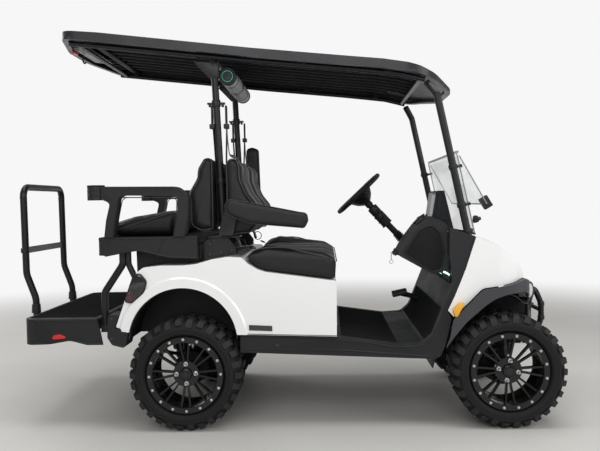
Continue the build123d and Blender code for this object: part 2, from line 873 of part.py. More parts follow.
def roof_bows():
    """Cross tubes between the two long ones."""
    half = ROOF_RAIL_Y - FRAME_TUBE_R
    bars = []
    for x in (-1400, STRUT_REAR_X, 420):
        z = roof_height(x, RAIL_DROP)
        bars.append(rod((x, -half, z), (x, half, z), FRAME_TUBE_R - 1))
    return bars[0] + bars[1] + bars[2]


def roof_struts():
    """Four posts between body and roof frame."""
    y = STRUT_FRONT_Y
    (x0, z0), (x1, z1) = STRUT_FRONT
    head_x = x1 - 45
    head = (head_x, y - 50, roof_height(head_x, RAIL_DROP) - 16)
    front = tube([(x0, y, z0), (x1, y, z1), head], TUBE_R, [30])
    y = STRUT_REAR_Y
    rear = tube([(x, y, z) for x, z in STRUT_REAR], TUBE_R, [600])
    bow_x, bow_z = STRUT_REAR[-1]
    rear = rear - rod((bow_x, y - 60, bow_z), (bow_x, y + 60, bow_z), FRAME_TUBE_R - 1 + FIT)
    flange = block(-690, -590, y - 35, y + 35, 902.5, 909)
    cheek_rows = [
        (-745, 880, 0),
        (-745, 975, 20),
        (-700, 1000, 30),
        (-618, 1000, 30),
        (-575, 940, 20),
        (-575, 905, 0),
        (-603, 904, 0),
        (-687, 892, 0),
    ]
    cheeks = side_solid(cheek_rows, y + 35, y + 41) + side_solid(cheek_rows, y - 41, y - 35)
    tie = block(-735, -705, y - 36, y + 36, 915, 921)
    return both(front) + both(rear + flange + cheeks + tie)


SOUNDBAR_LINE = (-615.0, 1872.0)
SOUNDBAR_R = 46.0
SOUNDBAR_HALF = 350.0


def soundbar():
    """Round speaker bar hung between the rear struts."""
    x, z = SOUNDBAR_LINE
    bar = rod((x, -SOUNDBAR_HALF, z), (x, SOUNDBAR_HALF, z), SOUNDBAR_R)
    hanger = block(x - 67, x, 228, 252, z, z + 43)
    return bar + both(hanger)


WINDSHIELD_T = 5.0
WINDSHIELD_HALF = 500.0
WINDSHIELD_LINE = ((684.0, 996.0), (596.0, 1415.0), (748.0, 1150.0))


def sheet(start, end):
    """Flat pane across the cart between two (x, z) points."""
    line = Vector(end[0] - start[0], 0, end[1] - start[1])
    plane = Plane(origin=(start[0], 0, start[1]), x_dir=(0, 1, 0), z_dir=line)
    return extrude(plane * Rectangle(2 * WINDSHIELD_HALF, WINDSHIELD_T), amount=line.length)


def windshield():
    """Lower pane on the struts and the upper pane folded down ahead of it."""
    foot, hinge, tip = WINDSHIELD_LINE
    return sheet(foot, hinge) + sheet((hinge[0] + 12, hinge[1] - 10), tip)


def windshield_clips():
    """Hinge strip and the rubber blocks that hold the panes to the struts."""
    _, hinge, _ = WINDSHIELD_LINE
    x = hinge[0] + 3
    z = hinge[1] + 9
    return rod((x, -WINDSHIELD_HALF, z), (x, WINDSHIELD_HALF, z), 7)


# ---- front seats -------------------------------------------------------------------------------
CUSHION_GAP = 2.0


def front_seat_cushion():
    """Bench cushion on the body's front edge, with a raised bolster at each end."""
    low = [(x, z + CUSHION_GAP, 0) for x, z in SEAT_LINE]
    slab_rows = low + [
        (-505, 902, 20),
        (-405, 912, 60),
        (-100, 905, 60),
        (-35, 880, 30),
        (-35, 850, 20),
    ]
    bolster_rows = low + [
        (-512, 902, 12),
        (-475, 940, 40),
        (-405, 957, 60),
        (-290, 957, 60),
        (-205, 925, 60),
        (-100, 907, 60),
        (-35, 880, 30),
        (-35, 850, 20),
    ]
    slab = side_solid(slab_rows, -SEAT_HALF, SEAT_HALF)
    return slab + both(side_solid(bolster_rows, SEAT_HALF - BOLSTER_W, SEAT_HALF))


def front_seat_back():
    """Two backrest pads side by side."""
    rows = [
        (-622, 1030, 20),
        (-622, 1385, 30),
        (-604, 1421, 20),
        (-558, 1421, 20),
        (-541, 1374, 40),
        (-539, 1304, 60),
        (-510, 1233, 60),
        (-460, 1165, 60),
        (-440, 1080, 40),
        (-490, 1014, 20),
        (-590, 1008, 20),
    ]
    return both(side_solid(rows, 6, BACK_HALF))


def seat_back_frame():
    """Cross tubes between the rear struts, and the armrest brackets with their hinge pins."""
    bars = []
    for z in (1040, 1300):
        x = -652
        bars.append(rod((x, -STRUT_REAR_Y + TUBE_R + 1, z), (x, STRUT_REAR_Y - TUBE_R - 1, z), 11))
    px, pz = ARM_PIVOT
    rows = [
        (px - 22, pz + 26, 20),
        (px + 24, pz + 26, 20),
        (px + 30, pz - 40, 0),
        (px + 10, 1010, 0),
        (px - 64, 1010, 0),
        (px - 64, 1036, 0),
    ]
    bracket = side_solid(rows, BACK_HALF + 8, ARM_IN - 1)
    link = block(px - 64, px - 34, STRUT_REAR_Y + TUBE_R + 1, BACK_HALF + 10, 1010, 1036)
    pin = rod((px, BACK_HALF + 10, pz), (px, ARM_OUT - 20, pz), ARM_PIN_R)
    return both(bracket + link + pin) + bars


ARMREST_ROWS = [
    (-598, 1207, 24),
    (-621, 1165, 30),
    (-608, 1122, 24),
    (-568, 1100, 60),
    (-481, 1066, 80),
    (-276, 1046, 60),
    (-199, 1038, 18),
    (-178, 1080, 20),
    (-184, 1122, 20),
    (-378, 1163, 100),
]
ARMREST_RAISED = 97.0


def armrest(raised):
    """Padded armrest on its hinge, lowered or swung up."""
    pad = side_solid(ARMREST_ROWS, ARM_IN, ARM_OUT)
    px, pz = ARM_PIVOT
    bore = rod((px, ARM_IN - 10, pz), (px, ARM_OUT - 19, pz), ARM_PIN_R + FIT)
    pad = pad - bore
    if raised:
        pad = Pos(px, 0, pz) * Rot(0, -ARMREST_RAISED, 0) * Pos(-px, 0, -pz) * pad
    return pad


# ---- rear seat -----------------------------------------------------------------------------------
def rear_deck():
    """Tray under the rear cushion: plate with a skirt round three sides."""
    low = DECK_TOP - 10
    plate = plan_solid(
        [
            (-1293, -DECK_HALF, 40),
            (DECK_FRONT_X, -DECK_HALF, 0),
            (DECK_FRONT_X, DECK_HALF, 0),
            (-1293, DECK_HALF, 40),
        ],
        low,
        DECK_TOP,
    )
    skirt_rows = [
        (-1250, 1005, 0),
        (-1250, 910, 0),
        (-1135, 931, 60),
        (-1078, 938, 60),
        (-1012, 924, 60),
        (-956, 909, 60),
        (-909, 899, 40),
        (DECK_FRONT_X, 893, 10),
        (DECK_FRONT_X, 1005, 0),
    ]
    skirt = side_solid(skirt_rows, DECK_HALF - 10, DECK_HALF)
    tail = block(-1293, -1283, -DECK_HALF + 42, DECK_HALF - 42, 915, low + 5)
    corner = plan_solid(
        [
            (-1293, DECK_HALF - 45, 0),
            (-1293, DECK_HALF, 40),
            (-1245, DECK_HALF, 0),
            (-1245, DECK_HALF - 10, 0),
            (-1283, DECK_HALF - 10, 30),
            (-1283, DECK_HALF - 45, 0),
        ],
        916,
        low + 5,
    )
    return plate + both(skirt) + tail + both(corner)


def rear_seat_cushion():
    """Cushion and its board, which flip over as one."""
    rows = [
        (-1270, DECK_TOP + REST_GAP, 0),
        (-1270, 1040, 15),
        (-1232, 1082, 40),
        (-1130, 1112, 60),
        (-905, 1146, 30),
        (-878, 1118, 20),
        (-918, DECK_TOP + REST_GAP, 0),
    ]
    pad = side_solid(rows, -REAR_SEAT_HALF, REAR_SEAT_HALF)
    hx, hz = FLIP_HINGE
    low = DECK_TOP + REST_GAP
    ear_rows = [
        (-1262, low, 0),
        (-1262, hz + 10, 0),
        (hx - 10, hz + 10, 8),
        (hx - 10, low, 8),
    ]
    ear = side_solid(ear_rows, 300, 330)
    bore = rod((hx, -400, hz), (hx, 400, hz), 6 + FIT)
    return pad + both(ear) - bore


def rear_seat_back():
    """Two rear-facing backrest pads."""
    rows = [
        (-686, 1428, 16),
        (-737, 1426, 24),
        (-771, 1370, 40),
        (-777, 1320, 60),
        (-822, 1237, 60),
        (-815, 1060, 30),
        (-760, 1030, 30),
        (-686, 1040, 10),
    ]
    return both(side_solid(rows, 6, REAR_SEAT_HALF))


def rear_armrests():
    """Moulded side frames with three legs and a cup holder at the rear end."""
    top = DECK_TOP + 268
    outer = [
        (-1262, top, 0),
        (-860, top - 7, 60),
        (-800, top - 56, 50),
        (-806, top - 178, 100),
        (-826, DECK_TOP, 0),
        (-1250, DECK_TOP, 0),
        (-1238, top - 178, 60),
        (-1215, top - 88, 20),
        (-1262, top - 66, 0),
    ]
    body = side_solid(outer, REST_IN, REST_OUT)
    window_rows = [
        (-1170, top - 48, 34),
        (-860, top - 55, 24),
        (-862, top - 158, 60),
        (-888, DECK_TOP - 10, 0),
        (-1204, DECK_TOP - 10, 0),
        (-1186, top - 153, 60),
    ]
    body = body - side_solid(window_rows, REST_IN - 10, REST_OUT + 10)
    cup_x, cup_y = -1297.0, (REST_IN + REST_OUT) / 2
    boss = Pos(cup_x, cup_y, top - 35) * Cylinder(CUP_R + 7, 72)
    cup = Pos(cup_x, cup_y, top + 1 - CUP_DEPTH / 2) * Cylinder(CUP_R, CUP_DEPTH)
    return both(body + boss - cup)


def tray_frame():
    """Arms from the rails and the beams under the tray."""
    low = RAIL_TOP + KICK_UP
    arms = both(block(TRAY_REAR_X + 42, -980, RAIL_IN + 5, RAIL_OUT - 5, low, low + 40))
    beams = []
    for x in (TRAY_FRONT_X - 50, TRAY_REAR_X + 82):
        beams.append(block(x - 20, x + 20, -450, 450, low + 38, TRAY_TOP - 10))
    beams.append(block(TRAY_FRONT_X + 8, TRAY_FRONT_X + 46, -530, 530, low + 38, low + 75))
    return arms + beams


def deck_legs():
    """Bent tubes that carry the rear deck from the tray's cross beam."""
    leg_y = DECK_HALF - 60
    leg = tube(
        [
            (-1175, leg_y, DECK_TOP - 10),
            (-1175, leg_y, 865),
            (-1277, leg_y, 716),
            (-1277, leg_y, RAIL_TOP + KICK_UP + 75),
        ],
        TUBE_R,
        [50, 60],
    )
    brace = tube(
        [(-1145, leg_y, DECK_TOP - 10), (-1145, leg_y, 865), (-1090, leg_y, 745)],
        TUBE_R - 3,
        [60],
    )
    brace = brace - side_solid(BODY_ROWS, 400, BODY_HALF) - side_solid(TAIL_ROWS, 400, BODY_HALF)
    return both(leg + brace)


def seat_base():
    """Open-topped box between the white body and the rear deck."""
    half = DECK_HALF - 110
    top = DECK_TOP - 10 - FIT
    rows = [
        (-1112, 790, 0),
        (-1076, 838, 0),
        (-1048, 857, 0),
        (-958, 864, 0),
        (-838, 864, 0),
        (-776, 870, 0),
        (-776, top, 0),
        (-1116, top, 0),
    ]
    box = side_solid(rows, -half, half)
    return box - block(-1106, -782, PANEL - half, half - PANEL, 780, DECK_TOP)


def flip_hinge():
    """Lugs on the deck and the pin that the rear cushion turns on."""
    hx, hz = FLIP_HINGE
    lugs = both(block(hx - 8, hx + 16, 345, 360, DECK_TOP, hz + 8))
    pin = rod((hx, -360, hz), (hx, 360, hz), 6)
    return lugs + pin


# ---- step tray and grab bar --------------------------------------------------------------------
def step_tray():
    """Foot tray with a skirt round three sides."""
    plate = plan_solid(
        [
            (TRAY_FRONT_X, -TRAY_HALF, 20),
            (TRAY_FRONT_X, TRAY_HALF, 20),
            (TRAY_REAR_X, TRAY_HALF, 60),
            (TRAY_REAR_X, -TRAY_HALF, 60),
        ],
        TRAY_TOP - 10,
        TRAY_TOP,
    )
    side_end = TRAY_REAR_X + 62
    skirt_rows = [
        (TRAY_FRONT_X, TRAY_TOP - 5, 0),
        (TRAY_FRONT_X + 24, 446, 0),
        (TRAY_FRONT_X - 60, 446, 0),
        (TRAY_FRONT_X - 150, 470, 80),
        (side_end + 80, 452, 80),
        (side_end, 450, 0),
        (side_end, TRAY_TOP - 5, 0),
    ]
    skirt = side_solid(skirt_rows, TRAY_HALF - 10, TRAY_HALF)
    corner = plan_solid(
        [
            (TRAY_REAR_X, TRAY_HALF - 65, 0),
            (TRAY_REAR_X, TRAY_HALF, 60),
            (side_end + 5, TRAY_HALF, 0),
            (side_end + 5, TRAY_HALF - 10, 0),
            (TRAY_REAR_X + 10, TRAY_HALF - 10, 50),
            (TRAY_REAR_X + 10, TRAY_HALF - 65, 0),
        ],
        450,
        TRAY_TOP - 5,
    )
    tail = block(TRAY_REAR_X, TRAY_REAR_X + 10, -TRAY_HALF + 62, TRAY_HALF - 62, 450, TRAY_TOP - 5)
    return plate + both(skirt) + both(corner) + tail


GRAB_TOP = 1292.0


def grab_bar():
    """Hoop behind the tray with a flat cross bar and feet on the tray's rear skirt."""
    side_run = [
        (GRAB_FOOT_X, 480),
        (GRAB_FOOT_X - 3, 661),
        (GRAB_REAR_X + 5, 800),
        (GRAB_REAR_X, GRAB_TOP),
    ]
    run = [(x, -GRAB_Y, z) for x, z in side_run] + [(x, GRAB_Y, z) for x, z in reversed(side_run)]
    hoop = tube(run, TUBE_R, [120, 120, 55, 55, 120, 120])
    cross = block(GRAB_REAR_X - 3, GRAB_REAR_X + 9, -GRAB_Y, GRAB_Y, 917, 952)
    foot = block(GRAB_FOOT_X, TRAY_REAR_X, GRAB_Y - 25, GRAB_Y + 25, 485, 560)
    return hoop + cross + both(foot)


# ---- inner liners and battery ----------------------------------------------------------------------
LINER_FRONT = [
    # x, z, corner radius of the arch skin behind and over a front wheel
    (440, 250, 0),
    (452, 295, 0),
    (492, 428, 0),
    (534, 490, 0),
    (590, 556, 0),
    (672, 628, 100),
    (740, 676, 100),
    (836, 690, 100),
    (885, 672, 40),
    (925, 636, 40),
    (1000, 616, 0),
    (1200, 612, 0),
    (1200, 250, 0),
]
LINER_SPLIT_Z = 545.0


def wheel_liners():
    """Dark inner arches over all four wheels."""
    skin = 5.0
    x, z, radius = ARCH_REAR
    outside = radius - FIT
    y_in, y_out = 338.0, BODY_HALF - PANEL
    ring = Cylinder(outside, y_out - y_in) - Cylinder(outside - skin, y_out - y_in)
    rear = Pos(x, (y_in + y_out) / 2, z) * Rot(90, 0, 0) * ring
    rear = rear + Pos(x, y_in + skin / 2, z) * Rot(90, 0, 0) * Cylinder(outside, skin)
    rear = rear - block(x - 400, x + 400, 300, 600, z - 400, z + 20)
    y_in, y_out = 284.0, BODY_HALF - FIT
    cover = side_solid(LINER_FRONT, y_in, y_out) - inset_solid(LINER_FRONT, skin, y_in + skin, y_out + 1)
    cover = cover - block(300, 1300, 200, 700, 200, LINER_SPLIT_Z)
    inner_plan = offset(outline(FASCIA_PLAN), amount=-PANEL - 2)
    cover = cover & (Pos(0, 0, 200) * extrude(inner_plan, amount=600))
    cover = cover - block(1000, 1300, 200, 700, 500, 700)
    y_out = SILL_HALF - 46
    apron = side_solid(LINER_FRONT, y_in, y_out) - inset_solid(LINER_FRONT, skin, y_in - 1, y_out + 1)
    apron = apron & block(300, 700, 200, 700, 295, LINER_SPLIT_Z)
    return both(rear) + both(cover + apron)


def battery_pack():
    """Plain block for the batteries under the front seat."""
    return block(-480, -70, -330, 330, RAIL_TOP, 700)


# ---- export ------------------------------------------------------------------------------------
def collect():
    """Every piece by node name."""
    nodes = {
        "frame_rails": frame_rails(),
        "floor_pan": floor_pan(),
        "rear_body": rear_body(),
        "front_cowl": front_cowl(),
        "front_fascia": front_fascia(),
        "dash": dash(),
        "dash_display": dash_display(),
        "front_guard": front_guard(),
        "taillights": taillights(),
        "headlights": headlights(),
        "rear_bumper": rear_bumper(),
        "roof_struts": roof_struts(),
        "roof": roof(),
        "roof_rails": roof_rails(),
        "roof_bows": roof_bows(),
        "soundbar": soundbar(),
        "windshield": windshield(),
        "windshield_clips": windshield_clips(),
        "steering_column": steering_column(),
        "pedals": pedals(),
        "front_seat_cushion": front_seat_cushion(),
        "front_seat_back": front_seat_back(),
        "seat_back_frame": seat_back_frame(),
        "rear_deck": rear_deck(),
        "rear_seat_back": rear_seat_back(),
        "rear_armrests": rear_armrests(),
        "tray_frame": tray_frame(),
        "deck_legs": deck_legs(),
        "seat_base": seat_base(),
        "flip_hinge": flip_hinge(),
        "step_tray": step_tray(),
        "grab_bar": grab_bar(),
        "rear_axle": rear_axle(),
        "suspension": suspension(),
        "wheel_liners": wheel_liners(),
        "battery_pack": battery_pack(),
        "rear_seat_cushion": rear_seat_cushion(),
        "armrest_left": armrest(True),
        "armrest_right": mirrored(armrest(False)),
        "knuckle_left": knuckle(1),
        "knuckle_right": knuckle(-1),
        "tie_rod": tie_rod(),
        "steering_wheel": steering_wheel(),
    }
    for name, x, half_track, side in WHEELS:
        centre = (x, side * half_track, AXLE_Z)
        nodes["tyre_" + name] = tyre(centre)
        nodes["rim_" + name] = rim(centre, side)
    return nodes


os.makedirs("parts", exist_ok=True)
for node, shape in collect().items():
    export_step(Pos(-ORIGIN_X, 0, 0) * shape, "parts/" + node + ".step")
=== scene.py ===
import json
import math
import bmesh
import bpy
from mathutils import Matrix, Vector, noise


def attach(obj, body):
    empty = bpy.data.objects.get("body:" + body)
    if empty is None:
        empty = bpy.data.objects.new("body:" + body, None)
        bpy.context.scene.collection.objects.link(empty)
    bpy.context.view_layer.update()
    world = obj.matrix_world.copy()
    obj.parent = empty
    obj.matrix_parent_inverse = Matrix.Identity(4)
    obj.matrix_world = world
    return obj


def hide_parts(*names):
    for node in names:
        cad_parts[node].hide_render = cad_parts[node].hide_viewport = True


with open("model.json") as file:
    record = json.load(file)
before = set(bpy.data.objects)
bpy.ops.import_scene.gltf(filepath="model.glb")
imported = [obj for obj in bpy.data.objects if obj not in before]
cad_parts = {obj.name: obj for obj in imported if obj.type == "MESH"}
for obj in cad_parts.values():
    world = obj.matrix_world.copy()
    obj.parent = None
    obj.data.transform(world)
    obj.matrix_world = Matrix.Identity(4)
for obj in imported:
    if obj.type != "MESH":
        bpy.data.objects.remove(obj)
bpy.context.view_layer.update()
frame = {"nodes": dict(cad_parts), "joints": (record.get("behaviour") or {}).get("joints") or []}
NODES = frame["nodes"]
JOINTS = {j["name"]: j for j in frame["joints"]}
FRONT_HUB = Vector(JOINTS["roll_front_right"]["pos_m"])
REAR_HUB = Vector(JOINTS["roll_rear_right"]["pos_m"])
MIDDLE_X = (FRONT_HUB.x + REAR_HUB.x) / 2
SIDES = (("left", 1), ("right", -1))


def place(x, y, z):
    """Point given in millimetres from the middle of the wheelbase, on the ground."""
    return Vector((MIDDLE_X + x / 1000, y / 1000, z / 1000))


def linked(name, data):
    """New object in the scene."""
    obj = bpy.data.objects.new(name, data)
    bpy.context.scene.collection.objects.link(obj)
    return obj


# ---- camera ----
YAW, PITCH, ROLL = 0.0380, 0.0324, -0.0190
EYE = (-89.1, -4149.7, 1173.1)
LENS_MM = 41.64


def make_camera():
    """Camera fitted to the photograph's two near wheels."""
    forward = Vector((-math.sin(YAW) * math.cos(PITCH), math.cos(YAW) * math.cos(PITCH), -math.sin(PITCH)))
    level = Vector((math.cos(YAW), math.sin(YAW), 0))
    upright = level.cross(forward)
    right = level * math.cos(ROLL) + upright * math.sin(ROLL)
    up = -level * math.sin(ROLL) + upright * math.cos(ROLL)
    data = bpy.data.cameras.new("camera")
    data.lens = LENS_MM
    data.sensor_width = 36.0
    data.clip_end = 200.0
    camera = linked("camera", data)
    turn = Matrix((right, up, -forward)).transposed().to_4x4()
    camera.matrix_world = Matrix.Translation(place(*EYE)) @ turn
    bpy.context.scene.camera = camera


make_camera()


# ---- materials ----
def shader(name):
    """New material with its Principled shader and a helper that adds nodes."""
    mat = bpy.data.materials.new(name)
    mat.use_nodes = True
    tree = mat.node_tree
    bsdf = next(n for n in tree.nodes if n.type == "BSDF_PRINCIPLED")

    def add(kind, links=(), **values):
        node = tree.nodes.new(kind)
        for key, value in values.items():
            if hasattr(node, key) and not isinstance(value, tuple):
                setattr(node, key, value)
            else:
                node.inputs[key.replace("_", " ")].default_value = value
        for socket, target in links:
            tree.links.new(target, node.inputs[socket])
        return node

    return mat, tree, bsdf, add


def set_input(node, **values):
    """Set sockets by name, with spaces for underscores."""
    for key, value in values.items():
        node.inputs[key.replace("_", " ")].default_value = value


def surface(name, colour, rough, grain=0.0, grain_size=400.0, mottle=0.08, mottle_size=6.0, metal=0.0,
            coat=0.0, specular=0.5, edge=0.0, rough_vary=0.08, kind="noise"):
    """Solid finish with a fine relief, slow colour drift, varied gloss and convex edges painted paler as a
    painted edge highlight.
    """
    mat, tree, bsdf, add = shader(name)
    coords = add("ShaderNodeTexCoord").outputs["Object"]
    drift = add("ShaderNodeTexNoise", [("Vector", coords)])
    set_input(drift, Scale=mottle_size, Detail=4.0, Roughness=0.6)
    tone = add("ShaderNodeMixRGB", [("Fac", drift.outputs["Fac"])])
    dark = [c * (1 - mottle) for c in colour]
    light = [min(1.0, c * (1 + mottle)) for c in colour]
    tone.inputs["Color1"].default_value = (*dark, 1)
    tone.inputs["Color2"].default_value = (*light, 1)
    result = tone.outputs["Color"]
    # edge sets a painted edge highlight: convex edges are painted paler where light would catch them
    if edge:
        geometry = add("ShaderNodeNewGeometry")
        ramp = add("ShaderNodeMapRange", [("Value", geometry.outputs["Pointiness"])])
        set_input(ramp, From_Min=0.52, From_Max=0.6, To_Min=0.0, To_Max=edge)
        painted_edge_highlight = add("ShaderNodeMixRGB", [("Fac", ramp.outputs["Result"]), ("Color1", result)])
        painted_edge_highlight.inputs["Color2"].default_value = (*[min(1.0, c * 1.6 + 0.03) for c in colour], 1)
        result = painted_edge_highlight.outputs["Color"]
    tree.links.new(result, bsdf.inputs["Base Color"])
    gloss = add("ShaderNodeMapRange", [("Value", drift.outputs["Fac"])])
    set_input(gloss, From_Min=0.3, From_Max=0.7, To_Min=max(0.02, rough - rough_vary),
              To_Max=rough + rough_vary)
    tree.links.new(gloss.outputs["Result"], bsdf.inputs["Roughness"])
    set_input(bsdf, Metallic=metal, Coat_Weight=coat, Coat_Roughness=0.06, Specular_IOR_Level=specular)
    if grain:
        if kind == "leather":
            relief = add("ShaderNodeTexVoronoi", [("Vector", coords)])
            set_input(relief, Scale=grain_size)
            height = relief.outputs["Distance"]
        else:
            relief = add("ShaderNodeTexNoise", [("Vector", coords)])
            set_input(relief, Scale=grain_size, Detail=3.0)
            height = relief.outputs["Fac"]
        bump = add("ShaderNodeBump", [("Height", height)])
        set_input(bump, Strength=grain, Distance=0.0006)
        tree.links.new(bump.outputs["Normal"], bsdf.inputs["Normal"])
    return mat


PLASTIC_IOR = 1.45


def clear(name, colour, rough, alpha):
    """See-through plastic with faint smears."""
    mat, tree, bsdf, add = shader(name)
    coords = add("ShaderNodeTexCoord").outputs["Object"]
    smear = add("ShaderNodeTexNoise", [("Vector", coords)])
    set_input(smear, Scale=5.0, Detail=5.0)
    haze = add("ShaderNodeMapRange", [("Value", smear.outputs["Fac"])])
    set_input(haze, From_Min=0.35, From_Max=0.75, To_Min=rough, To_Max=rough + 0.12)
    tree.links.new(haze.outputs["Result"], bsdf.inputs["Roughness"])
    bsdf.inputs["Base Color"].default_value = (*colour, 1)
    bsdf.inputs["Alpha"].default_value = alpha
    bsdf.inputs["IOR"].default_value = PLASTIC_IOR
    return mat


def glow(name, colour, strength):
    """Lit lens with a slow unevenness."""
    mat, tree, bsdf, add = shader(name)
    coords = add("ShaderNodeTexCoord").outputs["Object"]
    waver = add("ShaderNodeTexNoise", [("Vector", coords)])
    set_input(waver, Scale=30.0)
    tone = add("ShaderNodeMixRGB", [("Fac", waver.outputs["Fac"])])
    tone.inputs["Color1"].default_value = (*[c * 0.8 for c in colour], 1)
    tone.inputs["Color2"].default_value = (*colour, 1)
    tree.links.new(tone.outputs["Color"], bsdf.inputs["Base Color"])
    tree.links.new(tone.outputs["Color"], bsdf.inputs["Emission Color"])
    bsdf.inputs["Emission Strength"].default_value = strength
    bsdf.inputs["Roughness"].default_value = 0.2
    return mat


STRIP_PLACES = (0.120, 0.372)
STRIP_HALF = 0.028


def inlaid(name, facing):
    """Black vinyl with two grey strips a pad, on the faces that look along X or up."""
    mat = surface(name, (0.012, 0.012, 0.0135), 0.42, grain=0.55, grain_size=520, kind="leather", mottle=0.12,
                  edge=0.2, specular=0.28)
    tree = mat.node_tree
    bsdf = next(n for n in tree.nodes if n.type == "BSDF_PRINCIPLED")

    def maths(operation, first, second=0.0):
        node = tree.nodes.new("ShaderNodeMath")
        node.operation = operation
        for slot, value in enumerate((first, second)):
            if isinstance(value, float):
                node.inputs[slot].default_value = value
            else:
                tree.links.new(value, node.inputs[slot])
        return node.outputs[0]

    coords = tree.nodes.new("ShaderNodeTexCoord")
    split = tree.nodes.new("ShaderNodeSeparateXYZ")
    tree.links.new(coords.outputs["Object"], split.inputs[0])
    out = maths("ABSOLUTE", split.outputs["Y"])
    strips = [maths("LESS_THAN", maths("ABSOLUTE", maths("SUBTRACT", out, at)), STRIP_HALF)
              for at in STRIP_PLACES]
    looks = tree.nodes.new("ShaderNodeSeparateXYZ")
    tree.links.new(coords.outputs["Normal"], looks.inputs[0])
    way = looks.outputs["Z"] if facing == "up" else maths("ABSOLUTE", looks.outputs["X"])
    mask = maths("MULTIPLY", maths("MAXIMUM", *strips), maths("GREATER_THAN", way, 0.4))
    blend = tree.nodes.new("ShaderNodeMixRGB")
    tree.links.new(mask, blend.inputs["Fac"])
    tree.links.new(bsdf.inputs["Base Color"].links[0].from_socket, blend.inputs["Color1"])
    blend.inputs["Color2"].default_value = (0.20, 0.198, 0.194, 1)
    tree.links.new(blend.outputs["Color"], bsdf.inputs["Base Color"])
    return mat


